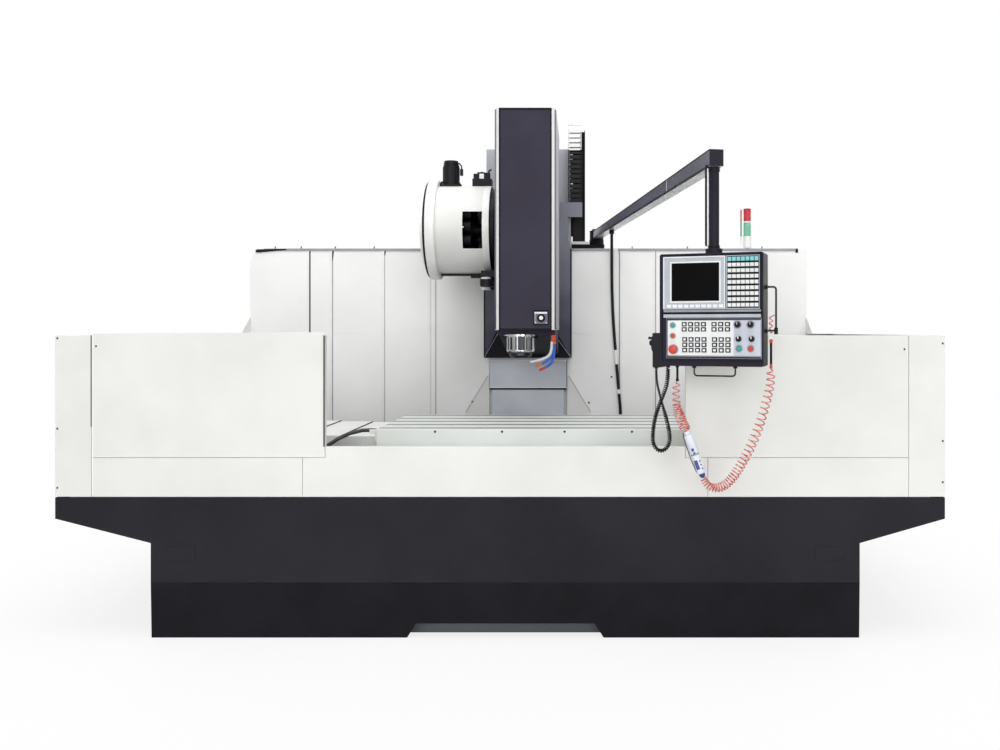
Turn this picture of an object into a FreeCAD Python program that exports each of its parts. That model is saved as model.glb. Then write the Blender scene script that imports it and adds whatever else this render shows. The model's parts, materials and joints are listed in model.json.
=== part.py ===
import FreeCAD, Part
import math
import os
import Sketcher

# A bed-type vertical machining centre, in millimetres. The origin is the point of the floor under
# the spindle axis, X runs along the front from left to right, Y from the operator to the column
# and Z up. The table stands at the front end of its Y travel, right of the middle of its X travel.

V = FreeCAD.Vector
doc = FreeCAD.newDocument("machining_center")
sheet = doc.addObject("Spreadsheet::Sheet", "sizes")
rows_used = []
nodes = {}


class Size:
    """A length held as an expression on the sheet and as the number that it gives now."""

    def __init__(self, text, value):
        self.text = text
        self.value = float(value)

    def __add__(self, other):
        return Size(f"({self.text} + {size(other).text})", self.value + size(other).value)

    def __sub__(self, other):
        return Size(f"({self.text} - {size(other).text})", self.value - size(other).value)

    def __mul__(self, other):
        return Size(f"({self.text} * {size(other).text})", self.value * size(other).value)

    def __truediv__(self, other):
        return Size(f"({self.text} / {size(other).text})", self.value / size(other).value)

    def __radd__(self, other):
        return size(other) + self

    def __rsub__(self, other):
        return size(other) - self

    def __rmul__(self, other):
        return size(other) * self

    def __neg__(self):
        return size(0) - self


def size(value):
    return value if isinstance(value, Size) else Size(f"({float(value):.6f})", value)


def dim(alias, value):
    """Writes one driving dimension on the sheet and returns it."""
    rows_used.append(alias)
    row = len(rows_used)
    sheet.set(f"A{row}", alias)
    sheet.set(f"B{row}", str(value))
    sheet.setAlias(f"B{row}", alias)
    return Size(f"sizes.{alias}", value)


# Enclosure and base
LEFT_REACH = dim("left_reach", 1917)
RIGHT_REACH = dim("right_reach", 1873)
FRONT = dim("front_distance", 1060)
REAR = dim("rear_wall_distance", 760)
BASE_TOP = dim("base_top", 600)
WING_EDGE = dim("wing_edge_height", 509)
WING_ROOT = dim("wing_root_height", 405)
FOOT_HALF = dim("foot_half_width", 1510)
FOLD_HEIGHT = dim("toe_fold_height", 238)
TOE_RECESS = dim("toe_recess", 8)
BASE_WALL = dim("base_wall", 25)
NOTCH_HEIGHT = dim("notch_height", 61)
NOTCH_HALF = dim("notch_half_width", 381)
NOTCH_SLANT = dim("notch_slant", 38)
GUARD_SHEET = dim("guard_sheet", 3)
PANEL_FOLD = dim("panel_fold_depth", 30)
PANEL_GAP = dim("panel_gap", 2)
LOW_TOP = dim("low_guard_top", 815)
SEAM_HEIGHT = dim("lower_panel_top", 768)
RAISED_TOP = dim("raised_guard_top", 1290)
OPENING_HALF = dim("front_opening_half_width", 768)
LOWER_SEAM = dim("lower_panel_seam", 864)
POST_WIDTH = dim("end_post_width", 154)
REAR_TOP = dim("rear_guard_top", 1816)
REAR_STEP_LEFT = dim("rear_guard_step_left", 200)
REAR_STEP_RIGHT = dim("rear_guard_step_right", 156)
REAR_GATE = dim("rear_guard_gate_half_width", 240)
RIB_DEPTH = dim("rear_guard_rib_depth", 24)

# Bed, saddle and table
BED_HALF = dim("bed_half_width", 560)
BED_TOP = dim("bed_top", 500)
BED_FRONT = dim("bed_front_distance", 980)
RAIL_HALF = dim("rail_half_width", 22.5)
RAIL_HEIGHT = dim("rail_height", 42)
Y_RAIL_OFFSET = dim("y_rail_offset", 330)
X_RAIL_OFFSET = dim("x_rail_offset", 180)
TRUCK_HALF = dim("truck_half_width", 50)
TRUCK_LENGTH = dim("truck_length", 120)
RAIL_CLEARANCE = dim("rail_clearance", 0.3)
SADDLE_BOTTOM = dim("saddle_bottom", 575)
SADDLE_TOP = dim("saddle_top", 690)
SADDLE_HALF = dim("saddle_half_length", 1120)
SADDLE_WING = dim("saddle_wing_reach", 1480)
TABLE_TOP = dim("table_top", 859)
TABLE_THICKNESS = dim("table_thickness", 90)
TABLE_LENGTH = dim("table_length", 1500)
TABLE_WIDTH = dim("table_width", 760)
TABLE_X = dim("table_rest_x", 138)
SLOT_PITCH = dim("slot_pitch", 160)
SLOT_MOUTH = dim("slot_mouth", 18)
SLOT_FOOT = dim("slot_foot", 30)
SLOT_DEPTH = dim("slot_depth", 30)
SCREW_RADIUS = dim("drive_screw_radius", 20)

# Column and head
COLUMN_HALF = dim("column_half_width", 262)
COLUMN_FRONT = dim("column_front_distance", 790)
COLUMN_TOP = dim("column_top", 2435)
COLUMN_DEPTH = dim("column_top_depth", 480)
COLUMN_BASE_DEPTH = dim("column_base_depth", 620)
COLUMN_BASE_HALF = dim("column_base_half_width", 430)
HEAD_LEFT = dim("head_left", 113)
HEAD_RIGHT = dim("head_right", 188)
HEAD_FRONT = dim("head_front_distance", 110)
HEAD_BOTTOM = dim("head_front_bottom", 1290)
HEAD_TOP = dim("head_front_top", 1900)
SLIDE_HALF = dim("head_slide_half_width", 268)
SLIDE_FRONT = dim("head_slide_front_distance", 690)
SLIDE_BOTTOM = dim("head_slide_bottom", 1146)
SLIDE_TOP = dim("head_slide_top", 2001)
COVER_LEFT = dim("head_cover_left", 122)
COVER_RIGHT = dim("head_cover_right", 195)
COVER_FRONT = dim("head_cover_front_distance", 210)
COVER_BOTTOM = dim("head_cover_bottom", 1313)
COVER_TOP = dim("head_cover_top", 2458)
COVER_BEVEL = dim("head_cover_bevel", 22)
COVER_SHEET = dim("head_cover_sheet", 3)
NOSE_RADIUS = dim("spindle_nose_radius", 75)
NOSE_BOTTOM = dim("spindle_nose_bottom", 1195)
SPINDLE_END = dim("spindle_end", 1173)
FIT = dim("seat_clearance", 0.3)

# Tool magazine
DRUM_Y = dim("drum_axis_y", 300)
DRUM_Z = dim("drum_axis_z", 1880)
DRUM_RADIUS = dim("drum_radius", 247)
DRUM_LEFT = dim("drum_left", 471)
DRUM_RIGHT = dim("drum_right", 167)
CAP_RADIUS = dim("drum_cap_radius", 281)
CAP_DEPTH = dim("drum_cap_depth", 65)
CAP_BULGE = dim("drum_cap_bulge", 43)
DRUM_SHEET = dim("drum_sheet", 4)
POT_COUNT = 16
POT_CIRCLE = dim("pot_circle_radius", 190)
POT_RADIUS = dim("pot_radius", 30)
ARM_X = dim("change_arm_x", 178)
ARM_Y = dim("change_arm_y", 150)

# Boom and control pendant
BOOM_X = dim("boom_pivot_x", 429)
BOOM_Y = dim("boom_pivot_y", 1250)
BOOM_Z = dim("boom_axle_top", 1975)
PENDANT_X = dim("pendant_axis_x", 854.5)
PENDANT_Y = dim("pendant_axis_distance", 1305)
BOOM_END_Z = dim("boom_end_z", 1993)
PENDANT_TURN = dim("pendant_turn", 20)
PENDANT_TOP = dim("pendant_top", 1618)
PENDANT_DEPTH = dim("pendant_depth", 110)
doc.recompute()


def bind(made, path, value):
    made.setExpression(path, size(value).text)


def place(made, x, y, z):
    for axis, value in zip("xyz", (x, y, z)):
        bind(made, f"Placement.Base.{axis}", value)
    return made


def block(name, x, y, z):
    """A box between the low and high value of each axis."""
    made = doc.addObject("Part::Box", name)
    for side, (low, high) in zip(("Length", "Width", "Height"), (x, y, z)):
        bind(made, side, size(high) - low)
    return place(made, x[0], y[0], z[0])


TURNS = {
    "x": FreeCAD.Rotation(V(0, 1, 0), 90),
    "y": FreeCAD.Rotation(V(1, 0, 0), -90),
    "z": FreeCAD.Rotation(),
}


def rod(name, axis, start, radius, length):
    """A cylinder that runs from start along an axis of the machine."""
    made = doc.addObject("Part::Cylinder", name)
    bind(made, "Radius", radius)
    bind(made, "Height", length)
    made.Placement = FreeCAD.Placement(V(), TURNS[axis])
    return place(made, *start)


def cone(name, axis, start, radius_low, radius_high, length):
    made = doc.addObject("Part::Cone", name)
    bind(made, "Radius1", radius_low)
    bind(made, "Radius2", radius_high)
    bind(made, "Height", length)
    made.Placement = FreeCAD.Placement(V(), TURNS[axis])
    return place(made, *start)


def link(name, start, end, radius):
    """A cylinder between two points."""
    made = doc.addObject("Part::Cylinder", name)
    reach = V(*end) - V(*start)
    bind(made, "Radius", radius)
    bind(made, "Height", reach.Length)
    made.Placement = FreeCAD.Placement(V(*start), FreeCAD.Rotation(V(0, 0, 1), reach))
    return made


def ball(name, centre, radius):
    made = doc.addObject("Part::Sphere", name)
    bind(made, "Radius", radius)
    return place(made, *centre)


def fuse(name, *pieces):
    made = doc.addObject("Part::MultiFuse", name)
    made.Shapes = list(pieces)
    made.Refine = True
    return made


def group(name, *pieces):
    made = doc.addObject("Part::Compound", name)
    made.Links = list(pieces)
    return made


def cut(name, base, *tools):
    made = doc.addObject("Part::Cut", name)
    made.Base = base
    made.Tool = tools[0] if len(tools) == 1 else fuse(f"{name}_tools", *tools)
    made.Refine = True
    return made


def common(name, first, second):
    made = doc.addObject("Part::Common", name)
    made.Base = first
    made.Tool = second
    made.Refine = True
    return made


def rounded(name, base, radius, chosen):
    """Rounds the edges of base that chosen picks."""
    doc.recompute()
    made = doc.addObject("Part::Fillet", name)
    made.Base = base
    picked = [n for n, edge in enumerate(base.Shape.Edges, 1) if chosen(edge)]
    made.Edges = [(n, size(radius).value, size(radius).value) for n in picked]
    return made


def along(axis):
    """Picks the straight edges that run along an axis."""
    direction = {"x": V(1, 0, 0), "y": V(0, 1, 0), "z": V(0, 0, 1)}[axis]

    def test(edge):
        if not isinstance(edge.Curve, Part.Line):
            return False
        return abs(abs(edge.tangentAt(edge.FirstParameter).dot(direction)) - 1) < 1e-6

    return test


def outline(name, plane, points):
    """A body whose first sketch is a closed outline of straight lines, tied to the sheet."""
    body = doc.addObject("PartDesign::Body", name)
    origin = [f for f in body.Origin.OriginFeatures if f.Role == f"{plane}_Plane"][0]
    sketch = body.newObject("Sketcher::SketchObject", f"{name}_sketch")
    sketch.AttachmentSupport = [(origin, "")]
    sketch.MapMode = "FlatFace"
    corners = [(size(a), size(b)) for a, b in points]
    count = len(corners)
    for n in range(count):
        here, after = corners[n], corners[(n + 1) % count]
        line = Part.LineSegment(V(here[0].value, here[1].value), V(after[0].value, after[1].value))
        sketch.addGeometry(line, False)
    for n in range(count):
        sketch.addConstraint(Sketcher.Constraint("Coincident", n, 2, (n + 1) % count, 1))
    for n, corner in enumerate(corners):
        for kind, value in zip(("DistanceX", "DistanceY"), corner):
            k = sketch.addConstraint(Sketcher.Constraint(kind, -1, 1, n, 1, value.value))
            sketch.setExpression(f"Constraints[{k}]", value.text)
    return body, sketch


def pad(name, plane, points, low, high):
    """An outline in a plane of the machine, padded between two values of the third axis."""
    body, sketch = outline(name, plane, points)
    lift = -size(high) if plane == "XZ" else size(low)
    bind(sketch, "AttachmentOffset.Base.z", lift)
    made = body.newObject("PartDesign::Pad", f"{name}_pad")
    made.Profile = sketch
    bind(made, "Length", size(high) - low)
    return body


def turned(name, axis, points, centre):
    """A half outline of (along, radius) points turned about an axis through centre."""
    if axis == "x":
        body, sketch = outline(name, "XY", points)
    elif axis == "y":
        body, sketch = outline(name, "XY", [(radius, at) for at, radius in points])
    else:
        body, sketch = outline(name, "XZ", [(radius, at) for at, radius in points])
    made = body.newObject("PartDesign::Revolution", f"{name}_turn")
    made.Profile = sketch
    made.ReferenceAxis = (sketch, ["H_Axis" if axis == "x" else "V_Axis"])
    made.Angle = 360
    return place(body, *centre)


def keep(name, made):
    """Names a finished sub-part of the machine."""
    made.Label = name
    nodes[name] = made
    return made


# ---------------------------------------------------------------- base and bed
def base():
    """Sheet-steel skirt with chip wings, and the folded front panel with its fork notch."""
    face = [
        (-LEFT_REACH, BASE_TOP),
        (-LEFT_REACH, WING_EDGE),
        (-FOOT_HALF, WING_ROOT),
        (-FOOT_HALF, 0),
        (-NOTCH_HALF - NOTCH_SLANT, 0),
        (-NOTCH_HALF, NOTCH_HEIGHT),
        (NOTCH_HALF, NOTCH_HEIGHT),
        (NOTCH_HALF + NOTCH_SLANT, 0),
        (FOOT_HALF, 0),
        (FOOT_HALF, WING_ROOT),
        (RIGHT_REACH, WING_EDGE),
        (RIGHT_REACH, BASE_TOP),
    ]
    bend = [
        (-FRONT, BASE_TOP),
        (-FRONT, FOLD_HEIGHT),
        (-FRONT + TOE_RECESS, 0),
        (-FRONT + TOE_RECESS + BASE_WALL, 0),
        (-FRONT + BASE_WALL, FOLD_HEIGHT),
        (-FRONT + BASE_WALL, BASE_TOP),
    ]
    front_end = -FRONT + TOE_RECESS + BASE_WALL
    silhouette = pad("base_silhouette", "XZ", face, -FRONT, front_end)
    folded = pad("base_fold", "YZ", bend, -LEFT_REACH, RIGHT_REACH)
    keep("base_front_panel", common("base_front", folded, silhouette))
    back = REAR + 40
    w = BASE_WALL
    bed_side = BED_HALF + FIT
    parts = []
    for name, sign, reach in (("left", -1, LEFT_REACH), ("right", 1, RIGHT_REACH)):
        drop = (WING_EDGE - WING_ROOT) * w / (reach - FOOT_HALF)
        end = reach * sign
        foot = FOOT_HALF * sign
        rise = [
            (end, WING_EDGE + w),
            (end, BASE_TOP),
            (end - w * sign, BASE_TOP),
            (end - w * sign, WING_EDGE + w - drop),
        ]
        wing = [(end, WING_EDGE), (end, WING_EDGE + w), (foot, WING_ROOT + w), (foot, WING_ROOT)]
        rear = [
            (end - w * sign, BASE_TOP),
            (end - w * sign, WING_EDGE + w - drop),
            (foot, WING_ROOT + w),
            (bed_side * sign, WING_ROOT + w),
            (bed_side * sign, BASE_TOP),
        ]
        front_y = -FRONT + w
        parts.append(pad(f"skirt_{name}_rise", "XZ", rise, front_y, back))
        parts.append(pad(f"skirt_{name}_wing", "XZ", wing, front_y, back))
        parts.append(pad(f"skirt_{name}_rear", "XZ", rear, back - w, back))
        foot_wall = [
            (front_y, WING_ROOT),
            (front_y, FOLD_HEIGHT),
            (front_y + TOE_RECESS, 0),
            (back, 0),
            (back, WING_ROOT),
        ]
        wall_x = (foot, foot - w * sign) if sign < 0 else (foot - w * sign, foot)
        parts.append(pad(f"skirt_{name}_foot", "YZ", foot_wall, *wall_x))
        floor_x = (foot, bed_side * sign) if sign < 0 else (bed_side * sign, foot)
        parts.append(block(f"skirt_{name}_tray", floor_x, (front_y, back), (WING_ROOT, WING_ROOT + w)))
        low_x = (foot + w, bed_side * sign) if sign < 0 else (bed_side * sign, foot - w)
        parts.append(block(f"skirt_{name}_back", low_x, (back - w, back), (0, WING_ROOT)))
    strip_y = (-FRONT + w, -BED_FRONT - FIT)
    parts.append(block("skirt_front_tray", (-bed_side, bed_side), strip_y, (WING_ROOT, WING_ROOT + w)))
    keep("base_skirt", group("skirt", *parts))


def rail(name, axis, centre, foot, start, end, up=True):
    """A profile rail with a waist, along X or Y, standing on the height foot."""
    waist = RAIL_HALF * 0.72
    section = [
        (centre - RAIL_HALF, foot),
        (centre - RAIL_HALF, foot + RAIL_HEIGHT * 0.3),
        (centre - waist, foot + RAIL_HEIGHT * 0.42),
        (centre - waist, foot + RAIL_HEIGHT * 0.6),
        (centre - RAIL_HALF, foot + RAIL_HEIGHT * 0.72),
        (centre - RAIL_HALF, foot + RAIL_HEIGHT),
        (centre + RAIL_HALF, foot + RAIL_HEIGHT),
        (centre + RAIL_HALF, foot + RAIL_HEIGHT * 0.72),
        (centre + waist, foot + RAIL_HEIGHT * 0.6),
        (centre + waist, foot + RAIL_HEIGHT * 0.42),
        (centre + RAIL_HALF, foot + RAIL_HEIGHT * 0.3),
        (centre + RAIL_HALF, foot),
    ]
    return pad(name, "XZ" if axis == "y" else "YZ", section, start, end)


def bed():
    trough = Y_RAIL_OFFSET - 90
    step = 70
    section = [
        (-BED_HALF, 0),
        (-BED_HALF, 110),
        (-BED_HALF + step, 150),
        (-BED_HALF + step, BED_TOP),
        (-trough, BED_TOP),
        (-trough, BED_TOP - 100),
        (trough, BED_TOP - 100),
        (trough, BED_TOP),
        (BED_HALF - step, BED_TOP),
        (BED_HALF - step, 150),
        (BED_HALF, 110),
        (BED_HALF, 0),
    ]
    rear_end = COLUMN_FRONT + COLUMN_BASE_DEPTH
    keep("bed_casting", pad("bed", "XZ", section, -BED_FRONT, rear_end))
    run = (-BED_FRONT + 30, COLUMN_FRONT - 40)
    left = rail("y_rail_left", "y", -Y_RAIL_OFFSET, BED_TOP, *run)
    right = rail("y_rail_right", "y", Y_RAIL_OFFSET, BED_TOP, *run)
    keep("y_rails", group("y_rail_pair", left, right))
    height = BED_TOP - 50
    screw = rod("y_screw", "y", (0, run[0], height), SCREW_RADIUS, size(run[1]) - run[0])
    ends = []
    for n, at in enumerate(run):
        y = (at, at + 60) if n == 0 else (at - 60, at)
        ends.append(block(f"y_screw_end_{n}", (-70, 70), y, (BED_TOP - 100, BED_TOP - 5)))
    keep("y_drive", fuse("y_drive_set", screw, *ends))


def truck(name, axis, centre, along_low, foot, top):
    """A carriage block that straddles a rail."""
    c = RAIL_CLEARANCE
    side = (centre - TRUCK_HALF, centre + TRUCK_HALF)
    run = (along_low, along_low + TRUCK_LENGTH)
    gap = (centre - RAIL_HALF - c, centre + RAIL_HALF + c)
    long_run = (along_low - 1, along_low + TRUCK_LENGTH + 1)
    low = foot + 8
    if axis == "y":
        body = block(name, side, run, (low, top))
        room = block(f"{name}_room", gap, long_run, (foot - 1, foot + RAIL_HEIGHT + c))
    else:
        body = block(name, run, side, (low, top))
        room = block(f"{name}_room", long_run, gap, (foot - 1, foot + RAIL_HEIGHT + c))
    return cut(f"{name}_cut", body, room)


def nut(name, axis, centre, foot, top, screw_z, half=55):
    """A screw nut housing that hangs from its slide, bored with running room."""
    bore = SCREW_RADIUS + 1
    if axis == "y":
        body = block(name, (-60, 60), (centre - half, centre + half), (foot, top))
        hole = rod(f"{name}_bore", "y", (0, centre - half - 1, screw_z), bore, 2 * half + 2)
    else:
        y = -TABLE_WIDTH / 2
        body = block(name, (centre - half, centre + half), (y - 60, y + 60), (foot, top))
        hole = rod(f"{name}_bore", "x", (centre - half - 1, y, screw_z), bore, 2 * half + 2)
    return cut(f"{name}_bored", body, hole)


def saddle():
    """The cross slide: a casting on four Y trucks, with wings that carry the X covers."""
    y = (-TABLE_WIDTH + 60, size(-60))
    deck = block("saddle_deck", (-SADDLE_HALF, SADDLE_HALF), y, (SADDLE_BOTTOM, SADDLE_TOP))
    wing_y = (y[0] + 60, y[1] - 60)
    wing_z = (SADDLE_TOP - 35, SADDLE_TOP)
    wing = block("saddle_wing", (-SADDLE_WING, SADDLE_WING), wing_y, wing_z)
    ends = []
    for n, x in enumerate(((-SADDLE_WING, -SADDLE_WING + 12), (SADDLE_WING - 12, SADDLE_WING))):
        z = (SADDLE_TOP - 35, TABLE_TOP - 26)
        ends.append(block(f"saddle_end_{n}", x, wing_y, z))
    trucks = []
    for n, side in enumerate((-1, 1)):
        for m, at in enumerate((y[0] + 20, y[1] - 20 - TRUCK_LENGTH)):
            centre = Y_RAIL_OFFSET * side
            trucks.append(truck(f"y_truck_{n}{m}", "y", centre, at, BED_TOP, SADDLE_BOTTOM))
    middle = -TABLE_WIDTH / 2
    y_nut = nut("y_nut", "y", middle, BED_TOP - 95, SADDLE_BOTTOM, BED_TOP - 50)
    rails = []
    for n, side in enumerate((-1, 1)):
        centre = middle + X_RAIL_OFFSET * side
        rails.append(rail(f"x_rail_{n}", "x", centre, SADDLE_TOP, -SADDLE_HALF + 10, SADDLE_HALF - 10))
    keep("saddle", fuse("saddle_casting", deck, wing, *ends, *trucks, y_nut, *rails))
    screw_z = SADDLE_TOP + 35
    reach = SADDLE_HALF - 40
    screw = rod("x_screw", "x", (-reach, middle, screw_z), SCREW_RADIUS, reach * 2)
    blocks = []
    for n, x in enumerate(((-reach, -reach + 50), (reach - 50, reach))):
        z = (SADDLE_TOP, SADDLE_TOP + 65)
        blocks.append(block(f"x_screw_end_{n}", x, (middle - 50, middle + 50), z))
    keep("x_drive", fuse("x_drive_set", screw, *blocks))


def table():
    """Cast table with T-slots, a coolant groove at each end and its trucks and nut below."""
    x = (TABLE_X - TABLE_LENGTH / 2, TABLE_X + TABLE_LENGTH / 2)
    bottom = TABLE_TOP - TABLE_THICKNESS
    slab = block("table_slab", x, (-TABLE_WIDTH, size(0)), (bottom, TABLE_TOP))
    middle = -TABLE_WIDTH / 2
    slots = []
    long_x = (x[0] - 1, x[1] + 1)
    for n in range(4):
        y = middle + SLOT_PITCH * (n - 1.5)
        half = SLOT_MOUTH / 2
        z = (TABLE_TOP - SLOT_DEPTH, TABLE_TOP + 1)
        slots.append(block(f"slot_mouth_{n}", long_x, (y - half, y + half), z))
        half = SLOT_FOOT / 2
        z = (TABLE_TOP - SLOT_DEPTH, TABLE_TOP - SLOT_DEPTH + 12)
        slots.append(block(f"slot_foot_{n}", long_x, (y - half, y + half), z))
    plate = cut("table_plate", slab, *slots)
    under = []
    for n, side in enumerate((-1, 1)):
        for m, shift in enumerate((-1, 1)):
            at = TABLE_X + 320 * shift - TRUCK_LENGTH / 2
            centre = middle + X_RAIL_OFFSET * side
            under.append(truck(f"x_truck_{n}{m}", "x", centre, at, SADDLE_TOP, bottom))
    x_nut = nut("x_nut", "x", TABLE_X, SADDLE_TOP + 5, bottom, SADDLE_TOP + 35)
    keep("table", fuse("table_casting", plate, x_nut, *under))


def stage_set(name, count, axis, near, far, side, top, foot):
    """Nested cover stages between two ends; each is a thin arch that slides in the one before."""
    sheet_t = 3.5
    pitch = 3.8
    lap = 25
    length = (size(far) - near) / count
    stages = []
    for n in range(count):
        a = size(near) + length * n
        b = a + length + (lap if n < count - 1 else 0)
        drop = pitch * n
        z_out = (foot, top - drop)
        z_in = (foot - 1, top - drop - sheet_t)
        s_out = (side[0] + drop, side[1] - drop)
        s_in = (side[0] + drop + sheet_t, side[1] - drop - sheet_t)
        lo, hi = (a, b)
        if axis == "x":
            outer = block(f"{name}_{n}", (lo, hi), s_out, z_out)
            inner = block(f"{name}_{n}_in", (lo - 1, hi + 1), s_in, z_in)
        else:
            outer = block(f"{name}_{n}", s_out, (lo, hi), z_out)
            inner = block(f"{name}_{n}_in", s_in, (lo - 1, hi + 1), z_in)
        stages.append(cut(f"{name}_{n}_arch", outer, inner))
    return stages


def way_covers():
    x_low = TABLE_X - TABLE_LENGTH / 2
    x_high = TABLE_X + TABLE_LENGTH / 2
    side = (-TABLE_WIDTH + 22, size(-22))
    top = TABLE_TOP - 21
    foot = SADDLE_TOP + 1
    inner_end = SADDLE_WING - 12
    left = stage_set("x_cover_left", 5, "x", -inner_end, x_low, side, top, foot)
    right = stage_set("x_cover_right", 3, "x", x_high, inner_end, side, top, foot)
    keep("x_covers", group("x_cover_stages", *left, *right))
    wide = (-470, 470)
    y_front = (-FRONT + PANEL_FOLD + 5, -TABLE_WIDTH + 60)
    y_rear = (size(-60), REAR - 62)
    front = stage_set("y_cover_front", 3, "y", *y_front, wide, SADDLE_TOP - 40, BED_TOP + 4)
    rear = stage_set("y_cover_rear", 5, "y", *y_rear, wide, SADDLE_TOP - 40, BED_TOP + 4)
    keep("y_covers", group("y_cover_stages", *front, *rear))


# ---------------------------------------------------------------- enclosure
def folded_panel(name, x, z, front=None, depth=None):
    """A front panel with its four edges folded back."""
    y = -FRONT if front is None else front
    d = PANEL_FOLD if depth is None else depth
    outer = block(name, x, (y, y + d), z)
    inside = (x[0] + GUARD_SHEET, x[1] - GUARD_SHEET)
    room_z = (z[0] + GUARD_SHEET, z[1] - GUARD_SHEET)
    room = block(f"{name}_room", inside, (y + GUARD_SHEET, y + d + 1), room_z)
    return cut(f"{name}_shell", outer, room)


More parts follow.
